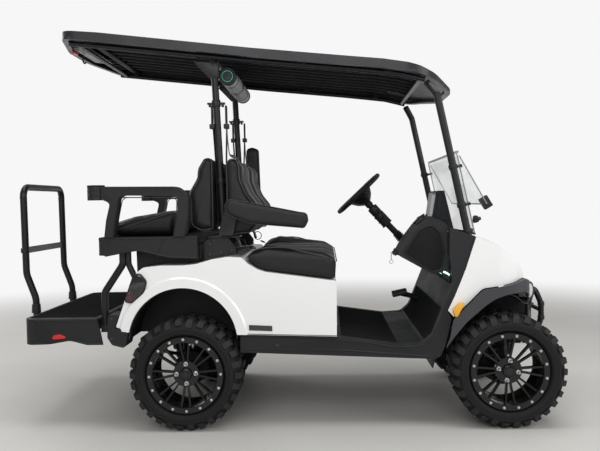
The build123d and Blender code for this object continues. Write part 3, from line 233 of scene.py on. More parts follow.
# key: shader name, colour, roughness and what differs from the plain finish
MAT = {
    "white": surface("white_paint", (0.86, 0.865, 0.86), 0.16, grain=0.04, grain_size=900, mottle=0.012,
                     mottle_size=2, coat=0.6, rough_vary=0.03),
    "dark": surface("dark_plastic", (0.011, 0.0115, 0.013), 0.5, grain=0.5, grain_size=1500, edge=0.3,
                    specular=0.2),
    "flare": surface("flare_plastic", (0.034, 0.035, 0.04), 0.48, grain=0.5, grain_size=1500, edge=0.3,
                     specular=0.3),
    "tube": surface("powder_coat", (0.010, 0.010, 0.0115), 0.33, grain=0.35, grain_size=1100, edge=0.2,
                    specular=0.3),
    "chassis": surface("chassis_paint", (0.011, 0.011, 0.012), 0.55, grain=0.4, grain_size=300, mottle=0.3,
                       specular=0.2),
    "canopy": surface("canopy_plastic", (0.014, 0.015, 0.018), 0.36, grain=0.25, grain_size=900, edge=0.2,
                      specular=0.3),
    "vinyl": surface("vinyl", (0.012, 0.012, 0.0135), 0.42, grain=0.55, grain_size=520, kind="leather",
                     mottle=0.12, edge=0.25, specular=0.28),
    "vinyl_grey": surface("grey_strap", (0.075, 0.075, 0.077), 0.6, grain=0.55, grain_size=520,
                          kind="leather"),
    "tyre": surface("tyre_rubber", (0.010, 0.010, 0.0105), 0.68, grain=0.6, grain_size=260, mottle=0.25,
                    edge=0.4, specular=0.2),
    "rim": surface("gloss_black", (0.006, 0.006, 0.0065), 0.2, grain=0.05, grain_size=900, coat=0.15,
                   edge=0.1,
                   specular=0.3, rough_vary=0.04),
    "steel": surface("bright_steel", (0.62, 0.63, 0.64), 0.28, grain=0.1, grain_size=700, metal=1.0),
    "pane": clear("clear_pane", (0.92, 0.96, 0.97), 0.02, 0.22),
    "lens": clear("lamp_lens", (0.9, 0.9, 0.9), 0.03, 0.5),
    "red": surface("lamp_pod", (0.012, 0.010, 0.011), 0.14, grain=0.2, grain_size=160, coat=0.4),
    "smoke": surface("smoked_lens", (0.010, 0.009, 0.010), 0.12, grain=0.2, grain_size=160, coat=0.6),
    "reflector": surface("red_reflector", (0.62, 0.02, 0.02), 0.18, grain=0.6, grain_size=420,
                         kind="leather"),
    "amber": surface("amber_reflector", (0.85, 0.42, 0.02), 0.2, grain=0.6, grain_size=420, kind="leather"),
    "grille": surface("grille_mesh", (0.34, 0.35, 0.355), 0.5, grain=0.9, grain_size=420, kind="leather"),
    "webbing": surface("webbing", (0.012, 0.012, 0.013), 0.75, grain=0.9, grain_size=700),
    "led": glow("teal_led", (0.01, 0.34, 0.27), 0.5),
    "led_spill": glow("teal_strip", (0.0, 0.5, 0.42), 5.0),
    "led_bright": glow("white_teal_led", (0.45, 0.9, 0.85), 2.2),
    "screen": surface("screen_glass", (0.012, 0.013, 0.015), 0.08, grain=0.02, grain_size=300, coat=0.7),
    "battery": surface("battery_case", (0.03, 0.03, 0.033), 0.55, grain=0.3, grain_size=500),
    "rim_grey": surface("rim_inset", (0.02, 0.02, 0.021), 0.4, specular=0.3, grain=0.2, grain_size=700),
    "vinyl_piping": surface("vinyl_piping", (0.03, 0.03, 0.031), 0.5, grain=0.3, grain_size=700),
    "vinyl_seat": inlaid("vinyl_seat", "up"),
    "vinyl_back": inlaid("vinyl_back", "along"),
    "canopy_under": surface("canopy_ribs", (0.009, 0.010, 0.011), 0.55, specular=0.25, grain=0.3,
                            grain_size=900),
    "black_bolt": surface("black_bolt", (0.03, 0.03, 0.032), 0.35, grain=0.2, grain_size=900, metal=0.6,
                          edge=0.4),
    "grey_plate": surface("grey_plate", (0.18, 0.185, 0.19), 0.4, grain=0.2, grain_size=700),
    "clamp": surface("moulded_clamp", (0.009, 0.009, 0.010), 0.42, specular=0.3, grain=0.3, grain_size=1000,
                     edge=0.3),
    "dark_trim": surface("dark_trim", (0.010, 0.0105, 0.0115), 0.4, specular=0.3, grain=0.3, grain_size=1400,
                         edge=0.35),
    "screen_lit": glow("screen_face", (0.30, 0.33, 0.35), 0.5),
    "rubber": surface("ribbed_rubber", (0.009, 0.009, 0.010), 0.75, specular=0.2, grain=0.5, grain_size=500),
    # grey line on the white body: a painted shadow of a seam
    "white_shadow": surface("seam_shadow_paint", (0.09, 0.09, 0.09), 0.6, grain=0.2, grain_size=900),
    "red_lens": surface("tail_lens", (0.07, 0.004, 0.006), 0.12, grain=0.5, grain_size=260, coat=0.7,
                        kind="leather"),
    "chassis_grey": surface("spring_steel", (0.05, 0.05, 0.055), 0.4, grain=0.2, grain_size=500, metal=0.5),
    "steel_dull": surface("dull_steel", (0.22, 0.22, 0.225), 0.45, grain=0.4, grain_size=500, metal=0.9),
    "pane_edge": surface("pane_edge", (0.28, 0.32, 0.33), 0.2, grain=0.1, grain_size=700),
}

NODE_FINISH = {
    "white": ["rear_body", "front_cowl"],
    "dark": ["floor_pan", "dash", "dash_display", "rear_bumper", "steering_column", "pedals",
             "rear_deck", "rear_armrests", "seat_base", "step_tray", "wheel_liners", "steering_wheel"],
    "flare": ["front_fascia"],
    "tube": ["front_guard", "roof_struts", "roof_rails", "roof_bows", "seat_back_frame", "tray_frame",
             "deck_legs",
             "flip_hinge", "grab_bar"],
    "chassis": ["frame_rails", "rear_axle", "suspension", "knuckle_left", "knuckle_right", "tie_rod"],
    "canopy": ["roof"],
    "vinyl": ["front_seat_cushion", "front_seat_back", "rear_seat_back", "rear_seat_cushion", "armrest_left",
              "armrest_right"],
    "tyre": [n for n in NODES if n.startswith("tyre")],
    "rim": [n for n in NODES if n.startswith("rim")],
    "pane": ["windshield"],
    "pane_edge": ["windshield_clips"],
    "lens": ["headlights"],
    "red": ["taillights"],
    "grille": ["soundbar"],
    "battery": ["battery_pack"],
}


def finish_node(name, material):
    """Give a CAD node its material, smooth inside its sharp edges."""
    node = NODES[name]
    node.data.materials.clear()
    node.data.materials.append(material)
    for face in node.data.polygons:
        face.use_smooth = True
    smooth = node.modifiers.new("sharp", "EDGE_SPLIT")
    smooth.split_angle = math.radians(35)


for finish, names in NODE_FINISH.items():
    for name in names:
        finish_node(name, MAT[finish])


# ---- piece building ----
def rounded(rows, steps=5):
    """Outline points from rows of (u, v, corner radius)."""
    out = []
    for i, (u, v, radius) in enumerate(rows):
        here = Vector((u, v))
        a = Vector(rows[i - 1][:2]) - here
        b = Vector(rows[(i + 1) % len(rows)][:2]) - here
        if radius <= 0:
            out.append(here)
            continue
        half = a.angle(b) / 2
        cut = min(radius / math.tan(half), 0.48 * min(a.length, b.length))
        real = cut * math.tan(half)
        centre = here + (a.normalized() + b.normalized()).normalized() * (real / math.sin(half))
        start = here + a.normalized() * cut - centre
        end = here + b.normalized() * cut - centre
        for k in range(steps + 1):
            way = start.lerp(end, k / steps)
            out.append(centre + way.normalized() * real)
    return out


def smooth_path(points, bend, steps=5):
    """Polyline with its inner corners rounded by a bend radius."""
    pts = [Vector(p) for p in points]
    out = [pts[0]]
    for before, here, after in zip(pts, pts[1:], pts[2:]):
        a, b = before - here, after - here
        cut = min(bend, 0.45 * a.length, 0.45 * b.length)
        p, q = here + a.normalized() * cut, here + b.normalized() * cut
        for k in range(steps + 1):
            t = k / steps
            out.append(p.lerp(here, t).lerp(here.lerp(q, t), t))
    out.append(pts[-1])
    return out


class Build:
    """One piece in the making, in millimetres; each part names its material by number, 0 if untold."""

    def __init__(self):
        self.bm = bmesh.new()

    def add(self, points, loops, mat=0):
        verts = [self.bm.verts.new(p) for p in points]
        for loop in loops:
            face = self.bm.faces.new([verts[i] for i in loop])
            face.material_index = mat

    def stack(self, rings, mat=0, closed=False):
        """Skin through rings that have the same number of points, capped unless closed."""
        count = len(rings[0])
        points = [p for ring in rings for p in ring]
        loops = []
        last = len(rings) if closed else len(rings) - 1
        for r in range(last):
            low, high = r * count, ((r + 1) % len(rings)) * count
            for k in range(count):
                n = (k + 1) % count
                loops.append((low + k, low + n, high + n, high + k))
        if not closed:
            loops.append(tuple(reversed(range(count))))
            loops.append(tuple(range((len(rings) - 1) * count, len(rings) * count)))
        self.add(points, loops, mat)

    def prism(self, rows, y_low, y_high, mat=0):
        """Side outline of (x, z, radius) rows carried across the cart."""
        line = rounded(rows)
        self.stack([[(p.x, y, p.y) for p in line] for y in (y_low, y_high)], mat)

    def slab(self, rows, z_low, z_high, mat=0):
        """Plan outline of (x, y, radius) rows carried upward."""
        line = rounded(rows)
        self.stack([[(p.x, p.y, z) for p in line] for z in (z_low, z_high)], mat)

    def box(self, centre, size, mat=0, pitch=0.0):
        """Block about its centre, pitched in degrees."""
        turn = Matrix.Rotation(math.radians(pitch), 3, "Y")
        x, y, z = (s / 2 for s in size)
        ring = [(-x, -y), (x, -y), (x, y), (-x, y)]
        self.stack([[turn @ Vector((a, b, c)) + Vector(centre) for a, b in ring] for c in (-z, z)], mat)

    def lathe(self, profile, origin, along, count=32, mat=0, closed=False):
        """Turned part from (radius, distance along the axis) points."""
        axis = Vector(along).normalized()
        side = axis.orthogonal().normalized()
        other = axis.cross(side)
        rings = []
        for k in range(count):
            angle = 2 * math.pi * k / count
            spoke = side * math.cos(angle) + other * math.sin(angle)
            rings.append([Vector(origin) + spoke * r + axis * d for r, d in profile])
        points = [p for ring in rings for p in ring]
        size = len(profile)
        loops = []
        for k in range(count):
            low, high = k * size, ((k + 1) % count) * size
            for i in range(size if closed else size - 1):
                n = (i + 1) % size
                loops.append((low + i, high + i, high + n, low + n))
        self.add(points, loops, mat)

    def pipe(self, points, radius, sides=10, mat=0, closed=False, bend=0.0, flat=1.0, lay=None):
        """Round or flattened bar along points; lay is the direction a strap's thickness looks."""
        pts = smooth_path(points, bend) if bend else [Vector(p) for p in points]
        count = len(pts)
        rings = []
        normal = None
        for i, here in enumerate(pts):
            ahead = pts[(i + 1) % count] if closed or i < count - 1 else here
            behind = pts[i - 1] if closed or i > 0 else here
            line = (ahead - behind).normalized()
            if lay is not None:
                normal = Vector(lay)
            elif normal is None:
                normal = line.orthogonal()
            normal = (normal - line * normal.dot(line)).normalized()
            across = line.cross(normal)
            ring = []
            for k in range(sides):
                angle = 2 * math.pi * k / sides + math.pi / sides
                rise = normal * (radius * flat * math.sin(angle))
                ring.append(here + rise + across * (radius * math.cos(angle)))
            rings.append(ring)
        self.stack(rings, mat, closed)

    def outline(self, rows, y, radius, sides=8, mat=0, steps=5):
        """Thin cord round a side outline of (x, z, radius) rows at one place across the cart."""
        self.pipe([(p.x, y, p.y) for p in rounded(rows, steps)], radius, sides, mat, closed=True)

    def crossbar(self, x, z, half, radius, sides=8, mat=0):
        """Straight bar across the cart, in two lengths."""
        self.pipe([(x, y, z) for y in (-half, 0, half)], radius, sides, mat)

    def bolt(self, at, along, radius, mat=0, height=0.6, sides=6):
        """Bolt head on a washer."""
        tall = radius * height
        self.lathe([(0, 0), (radius * 1.45, 0), (radius * 1.4, tall * 0.3), (radius, tall * 0.34)],
                   at, along, 14, mat)
        self.lathe([(radius, tall * 0.3), (radius, tall * 1.1), (radius * 0.7, tall * 1.4), (0, tall * 1.45)],
                   at, along, sides, mat)

    def both(self):
        """Add the mirror image on the other side of the cart."""
        copy = bmesh.ops.duplicate(self.bm,
                                   geom=list(self.bm.verts) + list(self.bm.edges) + list(self.bm.faces))
        fresh = [g for g in copy["geom"] if isinstance(g, bmesh.types.BMVert)]
        for vert in fresh:
            vert.co.y = -vert.co.y
        bmesh.ops.reverse_faces(self.bm, faces=[g for g in copy["geom"] if isinstance(g, bmesh.types.BMFace)])

    def make(self, name, finishes, body="chassis", bevel=0.0, split=32.0):
        """Turn it into a piece that rides on a body."""
        bmesh.ops.recalc_face_normals(self.bm, faces=self.bm.faces)
        for vert in self.bm.verts:
            vert.co = place(*vert.co)
        mesh = bpy.data.meshes.new(name)
        self.bm.to_mesh(mesh)
        self.bm.free()
        return finish_piece(name, mesh, finishes, body, bevel, split)


def finish_piece(name, mesh, finishes, body, bevel, split):
    """Object with its materials, soft edges and body."""
    obj = linked(name, mesh)
    for finish in finishes:
        mesh.materials.append(MAT[finish])
    for face in mesh.polygons:
        face.use_smooth = True
    if bevel:
        mod = obj.modifiers.new("edges", "BEVEL")
        mod.width = bevel / 1000
        mod.segments = 2
        mod.limit_method = "ANGLE"
        mod.angle_limit = math.radians(40)
    if split:
        mod = obj.modifiers.new("sharp", "EDGE_SPLIT")
        mod.split_angle = math.radians(split)
    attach(obj, body)
    return obj


# ---- wheels ----
AXLE_Z = 292.0
# end, hub x, half track, turn of the rim's bolts
WHEELS = (("front", 835.0, 494.0, 0.179), ("rear", -835.0, 502.0, -0.028))
LUGS = 30
BEADS = ((222, 123.5), (247, 125))
RING_BOLTS, RING_BOLT_R, RING_FACE = 16, 187, 110.8
STUDS, STUD_R, STUD_FACE = 4, 50.8, 74
HUB_FACE = 74.6
VALVE_R = 166
TYRE_SIDE = [
    # radius, distance from the tyre's middle
    (179, 86), (200, 88), (205, 98), (209, 109), (216, 118), (228, 124), (242, 125), (255, 121), (266, 113),
    (274, 104), (279, 92), (280, 70), (281, 30),
]


def lug(build, centre, side, angle, spread, section, lean):
    """Tread block over an arc, from a (radius, distance) section; lean turns its inner end ahead."""
    rings = []
    for edge in (-0.5, 0.5):
        ring = []
        for radius, across in section:
            taper = 1.0 if radius < 285 else 0.84
            turn = angle + edge * spread * taper + lean * (1 - abs(across) / 125)
            x = centre[0] + radius * math.sin(turn)
            z = centre[2] + radius * math.cos(turn)
            ring.append((x, centre[1] + side * across, z))
        rings.append(ring)
    build.stack(rings)


def tyre(name, x, y, side):
    """Knobbly tyre: carcass, shoulder lugs that run down the side wall and two centre rows."""
    centre = (x, y, AXLE_Z)
    build = Build()
    half = [(r, side * t) for r, t in TYRE_SIDE]
    other = [(r, -side * t) for r, t in reversed(TYRE_SIDE)]
    build.lathe(half + other, centre, (0, 1, 0), 96)
    for ring, bump in BEADS:
        build.lathe([(ring - 3, side * (bump - 3)), (ring - 2, side * bump), (ring + 2, side * bump),
                     (ring + 3, side * (bump - 3))], centre, (0, 1, 0), 96)
    pitch = 2 * math.pi / LUGS
    for k in range(LUGS):
        for face, shift in ((1, 0.0), (-1, 0.5)):
            turn = pitch * (k + shift)
            long = k % 2 == 0
            foot = 250 if long else 262
            shoulder = [(foot, 119), (foot + 4, 124.5), (270, 120), (287, 109), (292, 100), (292, 62),
                        (277, 60)]
            lug(build, centre, face, turn, pitch * 0.58, shoulder, 0.07)
            inner = 4 if long else 12
            middle = [(277, inner), (291, inner), (292, inner + 6), (292, 46), (291, 52), (277, 52)]
            lug(build, centre, face, turn + pitch * 0.5, pitch * 0.52, middle, 0.16)
    piece = build.make("tyre_" + name + "_tread", ["tyre"], "wheel_" + name, split=30)
    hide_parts("tyre_" + name)


def rim_fittings(name, x, y, side, phase):
    """Ring bolts, wheel nuts, cap, valve and the drop-centre ribs of one rim."""
    centre = Vector((x, y, AXLE_Z))
    out = Vector((0, side, 0))
    build = Build()
    for k in range(RING_BOLTS):
        turn = phase + 2 * math.pi * k / RING_BOLTS
        spot = Vector((math.sin(turn), 0, math.cos(turn))) * RING_BOLT_R
        build.bolt(centre + out * RING_FACE + spot, out, 5.2, 0, 0.8)
    for k in range(STUDS):
        turn = phase + math.radians(k * 90)
        spot = Vector((math.sin(turn), 0, math.cos(turn))) * STUD_R
        seat = centre + out * STUD_FACE + spot
        build.lathe([(14, 0), (13, 3), (9.5, 4), (9.5, 19), (6, 24), (0, 25)], seat, out, 6)
        build.lathe([(17, -1), (17, 3), (14, 4)], seat, out, 18, 1)
    build.lathe([(33, -2), (33, 6), (29, 13), (18, 17), (0, 18)], centre + out * HUB_FACE, out, 32, 1)
    build.lathe([(16, 16.5), (15, 19.5), (0, 20)], centre + out * HUB_FACE, out, 24, 2)
    valve = Vector((math.sin(phase + 0.2), 0, math.cos(phase + 0.2))) * VALVE_R
    build.pipe([centre + out * 70 + valve, centre + out * 100 + valve * 0.97], 4.0, 8)
    build.lathe([(205, 86), (206, 92), (203.5, 108), (200.5, 110)], centre, out, 64, 1)
    for radius, deep in ((168.6, 40), (166, 18), (166, -20)):
        build.lathe([(radius + 2, deep - 6), (radius, deep - 4), (radius, deep + 4), (radius + 2, deep + 6)],
                    centre, out, 64, 1)
    build.make("rim_" + name + "_fittings", ["steel", "rim", "rim_grey"], "wheel_" + name, split=30)


for side_name, s in SIDES:
    for end, hub, half_track, phase in WHEELS:
        tyre(end + "_" + side_name, hub, s * half_track, s)
        rim_fittings(end + "_" + side_name, hub, s * half_track, s, phase)


# ---- soft pads ----
STATIONS = 20
CLOTH_FRAMES = 20
CORD_R = 3.6


def pad_mesh(rows, y_low, y_high, edge, crown, extra=None):
    """Closed cushion form: a side outline that pulls in toward both ends and swells between them."""
    line = rounded(rows, 6)
    middle = sum(line, Vector((0, 0))) / len(line)
    bm = bmesh.new()
    rings = []
    for i in range(STATIONS + 1):
        t = i / STATIONS
        y = y_low + (y_high - y_low) * (0.5 - 0.5 * math.cos(math.pi * t))
        near = min(y - y_low, y_high - y)
        pull = edge - math.sqrt(max(0.0, edge * edge - max(0.0, edge - near) ** 2))
        swell = crown * (1 - abs(2 * t - 1) ** 3)
        ring = []
        for k, p in enumerate(line):
            ahead = line[(k + 1) % len(line)] - line[k - 1]
            normal = Vector((ahead.y, -ahead.x)).normalized()
            if normal.dot(p - middle) < 0:
                normal = -normal
            q = p + normal * (swell - pull)
            if extra:
                q = extra(q, y)
            ring.append(bm.verts.new((q.x, y, q.y)))
        rings.append(ring)
    for low, high in zip(rings, rings[1:]):
        for k in range(len(line)):
            n = (k + 1) % len(line)
            bm.faces.new((low[k], low[n], high[n], high[k]))
    bm.faces.new(rings[0])
    bm.faces.new(list(reversed(rings[-1])))
    bmesh.ops.recalc_face_normals(bm, faces=bm.faces)
    for vert in bm.verts:
        vert.co = place(*vert.co)
    mesh = bpy.data.meshes.new("pad")
    bm.to_mesh(mesh)
    bm.free()
    return mesh


def baked(obj):
    """The piece's mesh with all its modifiers worked in."""
    graph = bpy.context.evaluated_depsgraph_get()
    mesh = bpy.data.meshes.new_from_object(obj.evaluated_get(graph), depsgraph=graph)
    obj.modifiers.clear()
    return mesh


def inflate(name, mesh, voxel, cap):
    """Remesh a form, swell it as cloth and keep each point within a cap of its start."""
    obj = linked(name, mesh)
    mod = obj.modifiers.new("voxels", "REMESH")
    mod.mode = "VOXEL"
    mod.voxel_size = voxel / 1000
    obj.data = baked(obj)
    start = [v.co.copy() for v in obj.data.vertices]
    cloth = obj.modifiers.new("cloth", "CLOTH")
    cloth.settings.use_pressure = True
    cloth.settings.uniform_pressure_force = 4.0
    cloth.settings.effector_weights.gravity = 0.0
    cloth.settings.quality = 4
    cloth.settings.tension_stiffness = 22
    cloth.settings.bending_stiffness = 0.6
    cloth.point_cache.frame_start = 1
    cloth.point_cache.frame_end = CLOTH_FRAMES
    for frame_number in range(1, CLOTH_FRAMES + 1):
        bpy.context.scene.frame_set(frame_number)
    obj.data = baked(obj)
    bpy.context.scene.frame_set(1)
    for vert, home in zip(obj.data.vertices, start):
        move = vert.co - home
        if move.length > cap / 1000:
            vert.co = home + move.normalized() * (cap / 1000)
    return obj


def press(obj, lines):
    """Sew channels: pull the surface in along lines given as (axis, position, width, depth, test)."""
    mesh = obj.data
    normals = [v.normal.copy() for v in mesh.vertices]
    for vert, normal in zip(mesh.vertices, normals):
        x = (vert.co.x - MIDDLE_X) * 1000
        y, z = vert.co.y * 1000, vert.co.z * 1000
        spot = {"x": x, "y": y, "z": z}
        for axis, position, width, depth, test in lines:
            gap = abs(spot[axis] - position) / width
            if gap < 1 and test(x, y, z, normal):
                vert.co -= normal * (depth / 1000) * (1 - gap * gap) ** 2


def wrinkle(obj, amount, size):
    """Slow uneven swell over the surface, fixed for every run."""
    normals = [v.normal.copy() for v in obj.data.vertices]
    for vert, normal in zip(obj.data.vertices, normals):
        wave = noise.noise(vert.co * size) + 0.5 * noise.noise(vert.co * size * 2.7)
        vert.co += normal * wave * amount / 1000


def soft_piece(name, nodes, rows, y_low, y_high, finishes, edge=34, crown=5, cap=7, voxel=9, lines=(),
               body="chassis", extra=None):
    """Padded piece over a side outline, riding on its body."""
    obj = inflate(name, pad_mesh(rows, y_low, y_high, edge, crown, extra=extra), voxel, cap)
    mod = obj.modifiers.new("rounder", "SUBSURF")
    mod.levels = mod.render_levels = 1
    obj.data = baked(obj)
    press(obj, lines)
    wrinkle(obj, 1.3, 7.0)
    obj.data.materials.clear()
    for finish in finishes:
        obj.data.materials.append(MAT[finish])
    for face in obj.data.polygons:
        face.use_smooth = True
    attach(obj, body)
    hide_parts(*nodes)


def shrunk(rows, amount):
    """Side outline drawn in toward its middle by an amount."""
    line = [Vector((u, v)) for u, v, _ in rows]
    area = sum(a.x * b.y - b.x * a.y for a, b in zip(line, line[1:] + line[:1]))
    sign = 1 if area > 0 else -1
    out = []
    for i, here in enumerate(line):
        a = (here - line[i - 1]).normalized()
        b = (line[(i + 1) % len(line)] - here).normalized()
        na = Vector((-a.y, a.x)) * sign
        nb = Vector((-b.y, b.x)) * sign
        both = (na + nb).normalized()
        out.append((*(here + both * amount / max(0.35, both.dot(na))), rows[i][2]))
    return out


def piping(name, rows, levels):
    """Sewn cord round the side outline at each level across the cart."""
    build = Build()
    for y in levels:
        build.outline(shrunk(rows, 8.5), y, CORD_R, 6)
    build.make(name, ["vinyl_piping"], split=0)


FRONT_BACK = [
    (-622, 1030, 20), (-622, 1385, 30), (-604, 1421, 20), (-558, 1421, 20), (-541, 1374, 40),
    (-539, 1304, 60),
    (-510, 1233, 60), (-460, 1165, 60), (-440, 1080, 40), (-490, 1014, 20), (-590, 1008, 20),
]
REAR_BACK = [
    (-686, 1428, 16), (-737, 1426, 24), (-771, 1370, 40), (-777, 1320, 60), (-822, 1237, 60),
    (-815, 1060, 30),
    (-760, 1030, 30), (-686, 1040, 10),
]
REAR_CUSHION = [
    (-1270, 1015, 0), (-1270, 1040, 15), (-1232, 1082, 40), (-1130, 1112, 60), (-905, 1146, 30),
    (-878, 1118, 20), (-918, 1015, 0),
]
SEAT_FOOT = [(-41, 770, 0), (-90, 776, 0), (-410, 822, 0), (-452, 836, 0), (-520, 888, 0)]
SEAT_SLAB = SEAT_FOOT + [(-508, 903, 20), (-405, 912, 60), (-100, 905, 60), (-35, 880, 30), (-35, 850, 20)]
ARMREST = [
    (-598, 1207, 24), (-621, 1165, 30), (-608, 1122, 24), (-568, 1100, 60), (-481, 1066, 80),
    (-276, 1046, 60),
    (-199, 1038, 18), (-178, 1080, 20), (-184, 1122, 20), (-378, 1163, 100),
]
ARM_PIVOT = (-590.0, 1141.0)
ARM_RAISED = 97
ARM_IN, ARM_OUT = 527, 581
BENCH_HALF = 556
PAD_GAP = 7
FRONT_BACK_END, REAR_BACK_END, FLIP_HALF = 487, 477, 474


# the bench's end bolsters: height of their foot, rise, inner side, front and rear ends
BOLSTER_FOOT, BOLSTER_RISE, BOLSTER_IN = 870, 46, 405
BOLSTER_FRONT, BOLSTER_REAR = -60, -520


def share(value):
    """Value kept between 0 and 1."""
    return max(0.0, min(1.0, value))


def seat_swell(point, y):
    """Raise the bench's two ends into bolsters."""
    if point.y < BOLSTER_FOOT:
        return point
    rise = BOLSTER_RISE * share((abs(y) - BOLSTER_IN) / 50) * share((BOLSTER_FRONT - point.x) / 240) ** 0.8
    rise *= share((point.x - BOLSTER_REAR) / 55)
    return Vector((point.x, point.y + rise * (point.y - BOLSTER_FOOT) / 42))


def ahead(x, y, z, normal):
    return normal.x > 0.35


def behind(x, y, z, normal):
    return normal.x < -0.35


def above(x, y, z, normal):
    return normal.z > 0.5


def front_face(x, y, z, normal):
    return normal.x > 0.4 and normal.z < 0.6


def make_seats():
    """Bench, backrests, flip seat and armrests as upholstered pads."""
    seams = [("y", s * y, 9, 3.5, above) for s in (1, -1) for y in (92, 148, 344, 400)]
    seams += [("y", 0, 10, 6, above), ("z", 868, 7, 3.0, front_face)]
    soft_piece("front_seat_cushion_pad", ["front_seat_cushion"], shrunk(SEAT_SLAB, 6), -BENCH_HALF,
               BENCH_HALF, ["vinyl_seat"],
               edge=18, crown=3, cap=6, voxel=10, lines=seams, extra=seat_swell)
    for side, s in SIDES:
        low, high = sorted((s * PAD_GAP, s * FRONT_BACK_END))
        seams = [("y", s * y, 8, 4.0, ahead) for y in (88, 152, 342, 406)]
        seams += [("z", 1190, 9, 4, lambda x, y, z, n: ahead(x, y, z, n) and 152 < abs(y) < 342)]
        soft_piece("front_seat_back_" + side, ["front_seat_back"], shrunk(FRONT_BACK, 6), low, high,
                   ["vinyl_back"],
                   edge=30, crown=4, cap=7, voxel=9, lines=seams)
        low, high = sorted((s * PAD_GAP, s * REAR_BACK_END))
        seams = [("y", s * y, 8, 4.0, behind) for y in (86, 148, 336, 398)]
        soft_piece("rear_seat_back_" + side, ["rear_seat_back"], shrunk(REAR_BACK, 6), low, high,
                   ["vinyl_back"],
                   edge=30, crown=4, cap=7, voxel=9, lines=seams)
    seams = [("y", y, 9, 3.5, above) for y in (-390, -290, -180, -80, 80, 180, 290, 390)]
    soft_piece("rear_seat_cushion_pad", ["rear_seat_cushion"], shrunk(REAR_CUSHION, 7), -FLIP_HALF, FLIP_HALF,
               ["vinyl_seat"],
               edge=34, crown=5, cap=7, voxel=9, lines=seams + [("y", 0, 10, 5, above)], body="rear_seat")
    for side, s in SIDES:
        rows = shrunk(ARMREST, 4)
        px, pz = ARM_PIVOT
        if side == "left":
            lift = math.radians(ARM_RAISED)
            rows = [(px + (u - px) * math.cos(lift) - (v - pz) * math.sin(lift),
                     pz + (u - px) * math.sin(lift) + (v - pz) * math.cos(lift), r) for u, v, r in rows]
        low, high = sorted((s * ARM_IN, s * ARM_OUT))
        soft_piece("armrest_" + side + "_pad", ["armrest_" + side], rows, low, high, ["vinyl"], edge=16,
                   crown=2,
                   cap=3, voxel=6, body="armrest_" + side)
        build = Build()
        for y in (ARM_IN + 5, ARM_OUT - 5):
            build.outline(shrunk(rows, 1.5), s * y, 2.0, 6, steps=4)
        build.make("armrest_" + side + "_seams", ["vinyl_piping"], "armrest_" + side, split=0)

    piping("front_back_piping", FRONT_BACK, [s * y for s in (1, -1) for y in (20, 474)])
    piping("rear_back_piping", REAR_BACK, [s * y for s in (1, -1) for y in (20, 464)])
    build = Build()
    for y in (-549, 549):
        path = [(-512, 893), (-470, 938), (-405, 950), (-290, 950), (-205, 922), (-100, 898), (-44, 872)]
        build.pipe([(x, y, z - 5) for x, z in path], CORD_R, 6, bend=40)
    build.pipe([(-39.5, y, 868) for y in (-549, -300, 0, 300, 549)], 3.4, 6)
    build.make("front_cushion_piping", ["vinyl_piping"], split=0)
    build = Build()
    for s in (1, -1):
        build.pipe([(-1250, s * 471, 1040), (-1178, s * 471, 1054), (-924, s * 471, 1132),
                    (-893, s * 468, 1134),
                    (-905, s * 468, 1060)], 3.4, 6, bend=24)
    build.make("rear_cushion_piping", ["vinyl_piping"], "rear_seat", split=0)


make_seats()


# ---- roof ----
ROOF_LINE = [(-1565, 2106), (-1268, 2080), (-467, 1979), (59, 1922), (215, 1906), (343, 1885), (408, 1869),
             (463, 1848), (530, 1826), (600, 1801), (630, 1790)]


def roof_at(x):
    """Height of the canopy's top at x."""
    for (x0, z0), (x1, z1) in zip(ROOF_LINE, ROOF_LINE[1:]):
        if x <= x1:
            return z0 + (z1 - z0) * (x - x0) / (x1 - x0)
    return ROOF_LINE[-1][1]


def roof_details():
    """Ridges under the canopy, its top beads, the rear cross bar, plate, marker lamp and hook."""
    build = Build()
    for y in range(-400, 401, 100):
        reach = 380 if abs(y) > 300 else 470
        run = [(x, y, roof_at(x) - 10) for x in range(-1480, reach, 60)]
        build.pipe(run, 10, 6, flat=0.8, lay=(0, 0, 1))
    build.crossbar(-1340, roof_at(-1340) - 20, 500, 16)
    build.make("roof_ridges", ["canopy_under"], split=40)
    build = Build()
    for s in (1, -1):
        run = [(x, s * 430, roof_at(x) + 1.5) for x in range(-1420, 400, 50)]
        build.pipe(run, 9, 10, flat=0.5, lay=(0, 0, 1))
        run = [(x, s * 549, roof_at(x) - 38) for x in range(-1420, 400, 40)]
        build.pipe(run, 6, 8)
    for x in (-1320, -180, 270):
        for s in (1, -1):
            build.bolt((x, s * 468, roof_at(x) + 0.3), (0, 0, 1), 8, 1)
    build.make("roof_beads", ["canopy", "black_bolt"], split=40)
    build = Build()
    build.box((-1450, -60, 2066), (110, 420, 5), pitch=5.4)
    for y in (-220, 100):
        build.bolt((-1450, y, 2063), (0, 0, -1), 6, 1)
    build.make("roof_rear_plate", ["grey_plate", "black_bolt"], bevel=1)
    build = Build()
    build.slab([(-1514, -234, 5), (-1494, -234, 5), (-1494, -182, 5), (-1514, -182, 5)], 2044, 2060)
    build.make("roof_marker_lamp", ["reflector"], bevel=2)
    build = Build()
    build.pipe([(-1515, -55, 2090), (-1515, -55, 2040), (-1506, -55, 2022), (-1494, -55, 2030)], 4.5, 8,
               bend=10)
    build.make("roof_hook", ["tube"])


# ---- posts, belts and bar ----
STRUT_REAR = [(-636, 904), (-649, 1197), (-676, 1900)]
STRUT_FRONT = [(646, 984), (493, 1720)]
STRUT_REAR_Y, STRUT_FRONT_Y = 420, 526


def along(line, z):
    """x on a (x, z) line at a height."""
    for (x0, z0), (x1, z1) in zip(line, line[1:]):
        if z0 <= z <= z1:
            return x0 + (x1 - x0) * (z - z0) / (z1 - z0)
    return line[-1][0]


